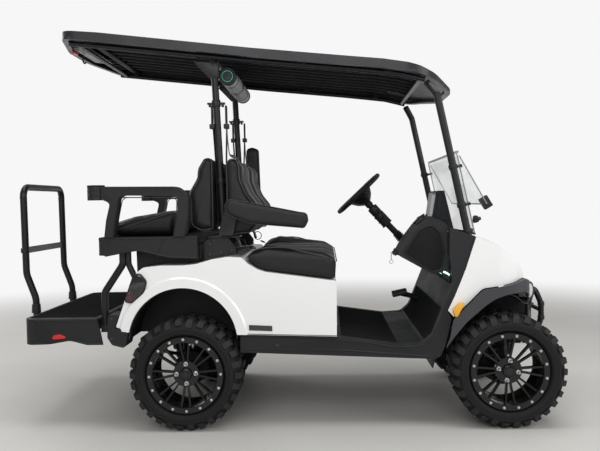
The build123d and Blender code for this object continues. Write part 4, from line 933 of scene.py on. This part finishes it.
def post_fittings():
    """Clamps, collars, brackets and bolts on the four posts."""
    build = Build()
    for z, tall, radius in ((1715, 34, 24), (1040, 26, 23), (1300, 26, 23)):
        x = along(STRUT_REAR, z)
        build.lathe([(19.2, -tall / 2), (radius, -tall / 2), (radius, tall / 2), (19.2, tall / 2)],
                    (x, STRUT_REAR_Y, z),
                    (-0.038, 0, 1), 24)
        build.bolt((x + radius - 1, STRUT_REAR_Y, z), (1, 0, 0), 6, 1)
    for reach in (-34, 34):
        for z, size in ((1715, (26, 30, 9)), (1704, (10, 40, 14))):
            build.box((along(STRUT_REAR, z) + reach, STRUT_REAR_Y, z), size)
    for y in (396, 438):
        build.prism([(-790, 1945, 8), (-650, 1930, 8), (-655, 1850, 10), (-700, 1850, 12)], y, y + 6)
    for x, z in ((-760, 1928), (-680, 1918), (-678, 1872)):
        build.bolt((x, 444, z), (0, 1, 0), 6, 1)
        build.bolt((x, 396, z), (0, -1, 0), 6, 1)
    for x, z in ((-716, 958), (-690, 978), (-625, 978), (-598, 925), (-716, 905), (-655, 915)):
        build.bolt((x, 461, z), (0, 1, 0), 7, 1)
        build.bolt((x, 379, z), (0, -1, 0), 7, 1)
    build.prism([(-722, 1002, 6), (-640, 1012, 6), (-560, 1004, 10), (-560, 992, 6), (-640, 996, 6),
                 (-722, 988, 6)],
                300, 470)
    build.box((-565, 430, 975), (10, 60, 62), pitch=-18)
    build.lathe([(26, -3), (29, 0), (26, 3), (23, 0)], (-548, 462, 962), (0.3, 1, 0), 24, 1, closed=True)
    build.both()
    build.make("post_brackets", ["tube", "black_bolt"], bevel=1.2)

    build = Build()
    for z in (1345, 1147):
        x = along(STRUT_FRONT, z)
        build.lathe([(19.2, -11), (24, -11), (24, 11), (19.2, 11)], (x, STRUT_FRONT_Y, z), (-0.2, 0, 0.98),
                    24)
        build.pipe([(x + 16, 522, z), (x + 34, 514, z + 4), (x + 44, 506, z + 6)], 7, 8)
        build.bolt((x + 44, 506, z + 6), (1, 0, 0.3), 8)
    build.bolt((along(STRUT_FRONT, 1252), 545, 1252), (0, 1, 0), 5)
    build.prism([(676, 1050, 6), (704, 1056, 6), (700, 1092, 8), (680, 1090, 8)], 474, 506)
    build.bolt((702, 490, 1072), (1, 0, 0.3), 10, 0, 1.2)
    x = along(STRUT_FRONT, 1012)
    build.lathe([(19.2, -8), (28, -12), (30, 6), (19.2, 12)], (x, STRUT_FRONT_Y, 1012), (-0.2, 0, 0.98), 24)
    build.both()
    build.make("windshield_clamps", ["clamp"], bevel=1)


def belts():
    """Belts of both rows with their hoops, and the rear row's buckles."""
    build = Build()
    build.pipe([(-690, 416, 1590), (-684, 414, 1500), (-676, 410, 1300), (-672, 408, 1080)], 20, 4, flat=0.09,
               lay=(1, 0, 0))
    build.pipe([(-690, 404, 1590), (-676, 396, 1300), (-672, 392, 1080)], 5, 8, 1)
    build.pipe([(-616, 416, 1590), (-612, 410, 1500), (-606, 398, 1436), (-572, 384, 1429), (-540, 376, 1385),
                (-532, 366, 1304), (-502, 356, 1230), (-454, 348, 1165)], 20, 4, 2, bend=34, flat=0.1,
               lay=(1, 0, 0.2))
    build.pipe([(-616, 410, 1590), (-622, 404, 1440), (-628, 400, 1120)], 5, 8, 1)
    for x in (-692, -616):
        build.pipe([(x, 404, 1592), (x, 404, 1700), (x, 436, 1700), (x, 436, 1592)], 4.5, 8, 1, bend=10)
        build.box((x, 420, 1592), (26, 44, 24), 1)
    for y in (60, 330):
        build.pipe([(-884, y, 1090), (-868, y, 1118), (-878, y, 1150)], 9, 8, 1, bend=18)
        build.box((-884, y, 1172), (16, 34, 56), 1, pitch=-18)
    build.lathe([(14, -3), (19, 0), (14, 3), (9, 0)], (-500, 300, 930), (0.4, 0.3, 1), 20, 1, closed=True)
    build.both()
    build.make("seat_belts", ["webbing", "clamp", "vinyl_grey"], bevel=1.0, split=40)


BAR_X, BAR_Z = -615, 1872


def bar_details():
    """End rings, grille band and brackets of the speaker bar."""
    build = Build()
    for s in (1, -1):
        end = (BAR_X, s * 350, BAR_Z)
        out = (0, s, 0)
        build.lathe([(46, -26), (48.5, -24), (48.5, 4), (45, 9), (40, 9)], end, out, 48)
        build.lathe([(40, 9), (31, 7)], end, out, 48)
        build.lathe([(31, 6), (30, 8.5), (28, 8.5), (27, 6)], end, out, 48, 1)
        build.lathe([(27, 7), (24, 3), (12, 2), (0, 4)], end, out, 36)
        build.lathe([(47, -14), (47, 14)], (BAR_X, s * 240, BAR_Z), out, 36)
        build.box((-648, s * 240, 1908), (70, 30, 8))
        build.bolt((-668, s * 240, 1904), (0, 0, -1), 6)
    for k in range(-8, 9):
        build.lathe([(46.3, -1.6), (47.2, -0.8), (47.2, 0.8), (46.3, 1.6)], (BAR_X, k * 24, BAR_Z), (0, 1, 0),
                    48, 2)
    build.lathe([(46.2, -30), (48, -28), (48, 28), (46.2, 30)], (BAR_X, 0, BAR_Z), (0, 1, 0), 48)
    build.make("soundbar_trim", ["clamp", "led", "grille"], split=35)


# ---- dash and controls ----
def dash_details():
    """Key switch, knobs, pod recess, footwell strip, cup rings and screen."""
    lean = Vector((-0.87, 0, -0.49))
    build = Build()
    for y in (-395, -330):
        spot = Vector((291, y, 898))
        build.lathe([(19, -4), (19, 4), (15, 7), (13, 3)], spot, lean, 24)
        build.lathe([(12, 0), (12, 18), (9, 22), (0, 23)], spot, lean, 20)
    build.lathe([(12, 0), (12, 5), (9, 7), (0, 7)], Vector((291, -268, 898)), lean, 20, 1)
    build.box((278, -268, 886), (22, 4, 18), 1, pitch=30)
    build.pipe([(272, -268, 880), (269, -267, 864), (270, -266, 846)], 2.0, 6)
    build.lathe([(10, -1.5), (12, 0), (10, 1.5), (8, 0)], (270, -266, 836), (0, 1, 0), 16, 1, closed=True)
    build.make("dash_switches", ["clamp", "steel"], bevel=0.8)

    build = Build()
    recess = [(316, 902, 12), (396, 1022, 50), (455, 1050, 40), (503, 1006, 60), (522, 900, 60),
              (504, 812, 20), (462, 801, 16), (400, 838, 50)]
    build.prism(recess, -515.6, -517.2, 1)
    build.outline(recess, -516.5, 4.5)
    build.prism([(400, 822, 8), (462, 792, 8), (470, 806, 8), (408, 836, 8)], -440, -260)
    build.make("dash_trim", ["dark_trim", "rubber"], bevel=0.8)

    build = Build()
    for y in (-330, -450):
        spot = Vector((418, y, 1073))
        build.lathe([(41, 0), (41, 5), (37, 6), (36, 2), (34, -3)], spot, (-0.65, 0, 0.76), 32)
    build.make("dash_cup_rings", ["dark_trim"])

    build = Build()
    rise = Vector((0.158, 0, 0.987))
    face = Vector((-0.987, 0, 0.158))
    foot = Vector((521, 0, 1072)) + face * 1.0

    def panel(near, far, low, high, deep, mat):
        corners = [foot + Vector((0, y, 0)) + rise * h for y, h in
                   ((near, low), (far, low), (far, high), (near, high))]
        build.stack([corners, [c + face * deep for c in corners]], mat)

    panel(-138, 138, 8, 148, 1.4, 0)
    panel(-128, -10, 20, 136, 2.6, 1)
    build.make("display_screen", ["screen", "screen_lit"], bevel=0.6)
    build = Build()
    for y in (-150.5, 150.5):
        build.outline([(534, 1080, 8), (556, 1216, 8), (583, 1216, 8), (616, 1050, 8)], y, 2.4)
    build.make("display_trim", ["dark_trim"])


COLUMN_ANGLE = math.radians(47.3)
STEER_HUB = (119.5, 300, 1226)
RIM_MIDDLE_R = 166


def wheel_point(distance, u=0.0, v=0.0):
    """Point by the steering axis: distance down it, u toward the wheel's top, v to the left."""
    angle = COLUMN_ANGLE
    base = Vector((STEER_HUB[0], STEER_HUB[1] + v, STEER_HUB[2]))
    down = Vector((math.cos(angle), 0, -math.sin(angle)))
    upward = Vector((math.sin(angle), 0, math.cos(angle)))
    return base + down * distance + upward * u


def steering_details():
    """Grip, spoke covers and horn pad on the wheel; collar, boot and stalk on the column."""
    axis = wheel_point(-1) - wheel_point(0)
    build = Build()
    for a, b in ((25, 65), (115, 155), (205, 245), (295, 335)):
        pts = []
        for k in range(9):
            turn = math.radians(a + (b - a) * k / 8)
            pts.append(wheel_point(0, RIM_MIDDLE_R * math.cos(turn), RIM_MIDDLE_R * math.sin(turn)))
        build.pipe(pts, 15.6, 12)
    build.lathe([(30, -72), (58, -48), (80, -14), (85, 0), (80, 8), (40, 15), (0, 16)], wheel_point(8), axis,
                40)
    build.lathe([(34, 14), (32, 18), (0, 18.5)], wheel_point(8), axis, 24, 1)
    for turn in (0, 90, 180):
        a = math.radians(turn)
        inner = wheel_point(12, 52 * math.sin(a), 52 * math.cos(a))
        outer = wheel_point(8, 155 * math.sin(a), 155 * math.cos(a))
        build.pipe([inner, outer], 16, 8, 2, flat=0.45, lay=axis)
    build.make("steering_wheel_trim", ["dark_trim", "black_bolt", "dark"], "steering_wheel", bevel=1)
    build = Build()
    down = wheel_point(1) - wheel_point(0)
    build.lathe([(20.5, 0), (31, 2), (33, 8), (33, 52), (29, 60), (20.5, 62)], wheel_point(120), down, 28)
    for k in range(6):
        build.lathe([(22, -7), (28 + k * 2, 0), (22, 7)], wheel_point(352 + k * 13), down, 28)
    build.pipe([wheel_point(215, 0, -30), wheel_point(200, 6, -95), wheel_point(192, 8, -130)], 6.5, 10, 1,
               bend=20)
    build.lathe([(9, -14), (11, 0), (9, 14), (0, 16)], wheel_point(190, 8, -140), (0.1, -1, 0.1), 14, 1)
    for x in (0, 38, 76):
        build.bolt(wheel_point(190 + x, -34, 0), wheel_point(0, -1) - wheel_point(0), 4, 1)
    build.make("column_details", ["dark_trim", "clamp"], bevel=0.8)


# middle y, half width, middle x, middle z
PEDALS = ((250, 45, 368, 585), (370, 32, 376, 588))
PEDAL_PITCH = -12


def pedal_details():
    """Ribbed rubber on both pedals, and the footwell's lamp and strip."""
    build = Build()
    for y, half, x, z in PEDALS:
        turn = Matrix.Rotation(math.radians(PEDAL_PITCH), 3, "Y")
        for k in range(-4, 5):
            spot = Vector((x, y, z)) + turn @ Vector((k * 10.5, 0, 6.0))
            build.box(spot, (5, 2 * half - 10, 4), pitch=PEDAL_PITCH)
        frame_rows = [(-46, -half + 2), (46, -half + 2), (46, half - 2), (-46, half - 2)]
        build.pipe([Vector((x, y, z)) + turn @ Vector((a, b, 5.5)) for a, b in frame_rows], 2.4, 6, 1,
                   closed=True)
    build.make("pedal_pads", ["rubber", "clamp"], bevel=0.8)
    build = Build()
    build.pipe([(516, -521, 801), (532, -521, 795), (546, -521, 784)], 5, 8)
    build.make("footwell_lamp", ["led_bright"])
    build = Build()
    build.crossbar(508, 792, 505, 4, 6)
    build.make("footwell_strip", ["led_spill"])


# ---- front end ----
LAMP = Vector((986.0, 425.0, 686.0))
LAMP_TOE = math.radians(38)


def front_details():
    """Lamp bezels and bowls, reflectors, grille and the guard's bolts."""
    build = Build()
    toe = Vector((math.cos(LAMP_TOE), math.sin(LAMP_TOE), 0))
    for s in (1, -1):
        axis = Vector((toe.x, s * toe.y, 0))
        spot = Vector((LAMP.x, s * LAMP.y, LAMP.z))
        build.lathe([(38, -2), (47, -4), (48, 0), (46, 4), (40, 6), (38, 4)], spot, axis, 48, closed=True)
        build.lathe([(38, 1), (34, 5), (20, 8.5), (0, 10)], spot, axis, 40, 1)
        build.lathe([(37, 0.5), (30, -8), (14, -15), (0, -16)], spot, axis, 40, 2)
        build.lathe([(8, -14), (8, -2), (5, 0), (0, 1)], spot, axis, 20, 2)
    build.make("headlight_trim", ["dark_trim", "lens", "steel"], split=35)

    build = Build()
    for s in (1, -1):
        low, high = sorted((s * 572, s * 608))
        build.prism([(549, 613, 8), (588, 650, 8), (605, 650, 6), (602, 634, 6), (562, 566, 8)], low, high)
    build.make("amber_reflectors", ["amber"], bevel=1.2)

    build = Build()
    for y in range(-200, 201, 40):
        build.box((1062, y, 615), (10, 8, 90), pitch=18)
    for z in (582, 612, 642):
        build.box((1070 - (z - 582) * 0.34, 0, z), (8, 400, 5))
    build.slab([(1086, -75, 4), (1090, -75, 4), (1090, 75, 4), (1086, 75, 4)], 480, 545, 1)
    build.make("nose_grille", ["dark_trim", "dark"], bevel=1)

    build = Build()
    for z in (500, 578):
        build.lathe([(16.4, -12), (19, -10), (19, 10), (16.4, 12)], (1118, 185, z), (0, 0, 1), 20)
    build.bolt((1080, 185, 388), (0, 0, 1), 7, 1)
    build.bolt((960, 202, 370), (0, 1, 0), 8, 1)
    build.both()
    build.make("guard_fittings", ["tube", "black_bolt"])


# ---- body sides, tail, deck and tray ----
SILL_FACE = 560.5


def body_details():
    """Blank name strip, sill trim, painted seam shadow line, screw and mat."""
    build = Build()
    build.prism([(-500, 517, 3), (-500, 545, 3), (-379, 539, 3), (-379, 511, 3)], 574, 579)
    build.both()
    build.make("name_strips", ["screen"], bevel=1)

    # grey line along the body side: a painted shadow of a seam
    build = Build()
    build.pipe([(-46, 575.0, 483), (-300, 575.0, 491), (-545, 575.0, 499)], 2.2, 6)
    build.both()
    build.make("body_seam_shadows", ["white_shadow"], split=0)

    build = Build()
    build.bolt((-355, 560, 433), (0, 1, 0), 7, 0, 0.5, 16)
    build.pipe([(-540, SILL_FACE, 418), (-300, SILL_FACE, 412), (0, SILL_FACE, 404), (280, SILL_FACE, 380),
                (430, SILL_FACE, 368)], 4, 8, 1,
               bend=60)
    build.pipe([(-540, SILL_FACE, 478), (-100, SILL_FACE, 464), (60, SILL_FACE, 452), (280, SILL_FACE, 416),
                (400, SILL_FACE, 424),
                (448, SILL_FACE, 470)], 3, 8, 1, bend=60)
    build.both()
    build.make("sill_trim", ["black_bolt", "dark_trim"], split=40)

    build = Build()
    for y in range(-480, 481, 30):
        build.pipe([(-20, y, 473), (120, y, 452), (270, y, 431.5)], 4, 6)
        build.pipe([(412, y, 446), (452, y, 483), (505, y, 611)], 4, 6)
    build.make("floor_mat_ribs", ["rubber"], split=40)


TAIL = [(-1150, 672, 12), (-1125, 746, 40), (-1105, 800, 20), (-1068, 832, 25), (-1026, 780, 30),
        (-1043, 722, 40), (-1108, 666, 14)]


def tail_details():
    """Two-tone lamp lenses with their rims, and the bumper's trim."""
    build = Build()
    upper = [(-1124, 748, 10), (-1101, 796, 12), (-1069, 824, 18), (-1034, 780, 20), (-1052, 724, 16),
             (-1096, 684, 10), (-1104, 724, 10)]
    lower = [(-1143, 682, 6), (-1131, 728, 10), (-1113, 716, 10), (-1106, 678, 8)]
    build.prism(upper, 570, 586)
    build.prism(lower, 570, 586, 1)
    build.outline(shrunk(TAIL, 2.5), 583.5, 3.2, 8, 2)
    build.both()
    build.make("tail_lenses", ["smoke", "red_lens", "dark_trim"], bevel=1.5)
    build = Build()
    build.pipe([(-1236, 577, 596), (-1242, 577, 490), (-1220, 577, 455), (-1160, 577, 438)], 3.4, 8, bend=18)
    for x, z in ((-1222, 585), (-1222, 480)):
        build.bolt((x, 577, z), (0, 1, 0), 6, 1)
    build.both()
    build.make("rear_bumper_trim", ["dark_trim", "black_bolt"])


def deck_details():
    """Raised edges on the rear armrests, cup liners, deck seams and the seat base's trim."""
    outer = [(-1259, 1274, 6), (-862, 1267, 54), (-804, 1220, 44), (-810, 1104, 90), (-829, 1014, 4),
             (-884, 1014, 4),
             (-866, 1120, 60), (-862, 1212, 22), (-1166, 1220, 30), (-1188, 1122, 60), (-1206, 1014, 4),
             (-1246, 1014, 4), (-1235, 1100, 60), (-1212, 1190, 20), (-1258, 1216, 8)]
    build = Build()
    for y in (570, 500):
        build.outline(outer, y, 2.6)
    cup = Vector((-1297, 535, 1279))
    build.lathe([(45, -1), (46, 4), (43, 7), (39, 7), (37.5, 3), (37, -52), (0, -54)], cup, (0, 0, 1), 40, 1)
    for z in (-20, -45):
        build.lathe([(45.2, z - 4), (47, z), (45.2, z + 4)], cup, (0, 0, 1), 40)
    build.both()
    build.make("rear_armrest_edges", ["dark_trim", "rubber"], split=40)

    build = Build()
    build.pipe([(-939, 561, 996), (-976, 561, 906)], 2.6, 6)
    build.pipe([(-1284, 556, 1002), (-1180, 561, 1003), (-940, 561, 1003), (-770, 561, 1003)], 3, 8)
    build.pipe([(-1255, 561, 916), (-1135, 561, 936), (-1078, 561, 943), (-1012, 561, 929), (-956, 561, 914),
                (-909, 561, 904), (-772, 561, 898)], 3, 8, bend=60)
    build.both()
    for z in (1002, 922):
        build.crossbar(-1294, z, 520, 3)
    build.make("rear_deck_trim", ["dark_trim"], split=40)

    build = Build()
    for y in (-420, -140, 140, 420):
        build.prism([(-772, 884, 4), (-764, 884, 4), (-764, 960, 4), (-772, 960, 4)], y - 30, y + 30)
    for z in (895, 930, 965):
        build.crossbar(-774.5, z, 440, 3, 6)
    for s in (1, -1):
        for x in (-1010, -930, -850):
            build.bolt((x, s * 450, 930), (0, s, 0), 6, 1)
        build.pipe([(-1100, s * 451, 975), (-800, s * 451, 975)], 4, 8)
    build.make("seat_base_trim", ["dark_trim", "black_bolt"], split=40)


GRAB_Y = 282


def tray_details():
    """Non-slip ribs, skirt beads, reflectors and bolts of the foot tray and its grab bar."""
    build = Build()
    for y in range(-500, 501, 40):
        build.pipe([(-1325, y, 586), (-1500, y, 586), (-1680, y, 586)], 5, 6)
    build.make("tray_ribs", ["rubber"], split=40)
    build = Build()
    build.pipe([(-1304, 561, 579), (-1640, 561, 579)], 3.4, 8)
    build.pipe([(-1280, 561, 452), (-1360, 561, 453), (-1450, 561, 476), (-1560, 561, 459),
                (-1634, 561, 457)],
               3.4, 8, bend=40)
    build.both()
    for z in (579, 457):
        build.crossbar(-1703, z, 490, 3.4)
    build.make("tray_trim", ["dark_trim"], split=40)
    build = Build()
    build.prism([(-1545, 478, 6), (-1540, 500, 16), (-1505, 506, 20), (-1455, 484, 6)], 559, 564)
    build.both()
    build.box((-1705, 0, 522), (6, 180, 34))
    build.make("tray_reflectors", ["reflector"], bevel=1.2)
    build = Build()
    for z in (505, 540):
        build.bolt((-1741, GRAB_Y, z), (-1, 0, 0), 8, 1)
    for profile, x, z in (([(19.2, -26), (26, -24), (23, 24), (19.2, 26)], -1744, 604),
                          ([(19.2, -14), (22.5, -12), (22.5, 12), (19.2, 14)], -1799, 934),
                          ([(19.1, -4), (20.2, -3), (20.2, 3), (19.1, 4)], -1799, 1232)):
        build.lathe(profile, (x, GRAB_Y, z), (0, 0, 1), 24)
    build.both()
    build.make("grab_bar_fittings", ["tube", "black_bolt"], split=40)


# ---- windshield and running gear ----
PANE_HALF = 500


def windshield_details():
    """Edges of the two panes and the strip along their foot."""
    build = Build()
    foot, hinge, tip = Vector((684, 0, 996)), Vector((596, 0, 1415)), Vector((748, 0, 1150))
    upper = Vector((608, 0, 1405))
    for a, b in ((foot, hinge), (upper, tip)):
        for s in (1, -1):
            end = Vector((0, s * PANE_HALF, 0))
            build.pipe([a + end, b + end], 4.2, 8, flat=0.8, lay=(1, 0, 0))
    build.crossbar(foot.x, foot.z, PANE_HALF, 6, 8, 1)
    build.crossbar(tip.x, tip.z, PANE_HALF, 4.5)
    build.box((746, -478, 1158), (44, 46, 62), 1, pitch=-31)
    build.bolt((764, -478, 1167), (0.86, 0, 0.5), 7, 1)
    build.make("windshield_edges", ["pane_edge", "clamp"], bevel=0.8, split=40)


COILS, COIL_STEPS, COIL_R = 8, 96, 36


def running_gear_details():
    """Coil springs, bellows, leaf clamps, axle plates, motor fins and brake pipes."""
    build = Build()
    for s in (1, -1):
        foot, head = Vector((812, s * 322, 236)), Vector((812, s * 250, 590))
        axis = (head - foot).normalized()
        side = Vector((1, 0, 0))
        other = axis.cross(side)
        pts = []
        for k in range(COIL_STEPS + 1):
            t = k / COIL_STEPS
            turn = 2 * math.pi * COILS * t
            spoke = side * math.cos(turn) + other * math.sin(turn)
            pts.append(foot + (head - foot) * (0.16 + 0.74 * t) + spoke * COIL_R)
        build.pipe(pts, 6, 6)
        for t in (0.14, 0.92):
            build.lathe([(22, -6), (42, -4), (42, 4), (22, 6)], foot + (head - foot) * t, axis, 24, 1)
    build.make("front_coil_springs", ["chassis_grey", "chassis"], split=50)
    build = Build()
    for s in (1, -1):
        for x in (-855, -815):
            build.pipe([(x, s * 262, 352), (x, s * 262, 262), (x, s * 290, 250), (x, s * 318, 262),
                        (x, s * 318, 352)], 6,
                       8, bend=14)
        build.box((-835, s * 290, 352), (90, 62, 10), 1)
        for x in (-1118, -552):
            build.lathe([(8, -28), (18, -26), (18, 26), (8, 28)], (x, s * 290, 376), (0, 1, 0), 18, 1)
        for k in range(5):
            build.lathe([(24, -6), (31, 0), (24, 6)], (-895, s * 240, 420 + k * 13), (0, 0, 1), 18, 1)
    for k in range(9):
        build.lathe([(84, -4), (88, -3), (88, 3), (84, 4)], (-685, -30 - k * 24, 292), (0, 1, 0), 36, 1)
    build.lathe([(92, -3), (98, -2), (98, 10), (80, 18), (30, 22), (0, 23)], (-815, 99, 292), (0, 1, 0), 36,
                1)
    build.pipe([(-700, 170, 420), (-900, 172, 440), (-1000, 250, 420), (-880, 330, 350), (-838, 380, 340)], 4,
               6, 1,
               bend=60)
    build.make("rear_axle_details", ["steel_dull", "chassis"], split=40)


for make_piece in (roof_details, post_fittings, belts, bar_details, dash_details, steering_details,
                   pedal_details,
                   front_details, body_details, tail_details, deck_details, tray_details, windshield_details,
                   running_gear_details):
    make_piece()


# ---- stage ----
FLOOR_HALF = 40.0
BACKDROP_WHITE = 0.93
WORLD_LIGHT = 0.30


def make_stage():
    """Pale floor that turns white far away, a white surround and soft lamps."""
    mesh = bpy.data.meshes.new("floor")
    corners = [(x * FLOOR_HALF, y * FLOOR_HALF, 0) for x, y in ((-1, -1), (1, -1), (1, 1), (-1, 1))]
    mesh.from_pydata(corners, [], [(0, 1, 2, 3)])
    floor = linked("floor", mesh)
    mat, tree, bsdf, add = shader("floor")
    coords = add("ShaderNodeTexCoord").outputs["Object"]
    cloud = add("ShaderNodeTexNoise", [("Vector", coords)])
    set_input(cloud, Scale=1.3, Detail=6.0)
    tone = add("ShaderNodeMixRGB", [("Fac", cloud.outputs["Fac"])])
    tone.inputs["Color1"].default_value = (0.50, 0.49, 0.46, 1)
    tone.inputs["Color2"].default_value = (0.60, 0.59, 0.565, 1)
    tree.links.new(tone.outputs["Color"], bsdf.inputs["Base Color"])
    bsdf.inputs["Roughness"].default_value = 0.55
    length = add("ShaderNodeVectorMath", [(0, coords)])
    length.operation = "LENGTH"
    fade = add("ShaderNodeMapRange", [("Value", length.outputs["Value"])])
    set_input(fade, From_Min=3.2, From_Max=7.0, To_Min=0.0, To_Max=1.0)
    fade.interpolation_type = "SMOOTHSTEP"
    white = add("ShaderNodeEmission")
    white.inputs["Color"].default_value = (BACKDROP_WHITE, BACKDROP_WHITE, BACKDROP_WHITE, 1)
    mix = add("ShaderNodeMixShader", [("Fac", fade.outputs["Result"])])
    tree.links.new(bsdf.outputs[0], mix.inputs[1])
    tree.links.new(white.outputs[0], mix.inputs[2])
    out = next(n for n in tree.nodes if n.type == "OUTPUT_MATERIAL")
    tree.links.new(mix.outputs[0], out.inputs["Surface"])
    mesh.materials.append(mat)

    world = bpy.data.worlds.new("surround")
    bpy.context.scene.world = world
    world.use_nodes = True
    tree = world.node_tree
    background = next(n for n in tree.nodes if n.type == "BACKGROUND")
    path = tree.nodes.new("ShaderNodeLightPath")
    seen = tree.nodes.new("ShaderNodeMath")
    seen.operation = "MAXIMUM"
    tree.links.new(path.outputs["Is Camera Ray"], seen.inputs[0])
    tree.links.new(path.outputs["Is Transmission Ray"], seen.inputs[1])
    strength = tree.nodes.new("ShaderNodeMapRange")
    tree.links.new(seen.outputs[0], strength.inputs["Value"])
    strength.inputs["To Min"].default_value = WORLD_LIGHT
    strength.inputs["To Max"].default_value = BACKDROP_WHITE
    background.inputs["Color"].default_value = (1, 1, 1, 1)
    tree.links.new(strength.outputs["Result"], background.inputs["Strength"])

    # name, place (mm), aim (mm), width, depth, watts
    for name, spot, aim, width, depth, watts in (
        ("overhead", (0, -400, 4600), (0, 0, 800), 5.0, 3.0, 170),
        ("near_side", (-500, -4800, 2900), (0, 0, 700), 4.0, 2.5, 90),
        ("front_corner", (4300, -2200, 2600), (400, 0, 800), 2.5, 2.5, 75),
        ("rear_corner", (-4300, 2400, 3000), (-400, 0, 900), 3.0, 2.5, 70),
    ):
        data = bpy.data.lights.new(name, "AREA")
        data.shape = "RECTANGLE"
        data.size, data.size_y = width, depth
        data.energy = watts
        lamp = linked(name, data)
        lamp.location = place(*spot)
        lamp.rotation_euler = (place(*aim) - place(*spot)).to_track_quat("-Z", "Y").to_euler()
    bpy.context.scene.view_settings.view_transform = "Standard"


make_stage()
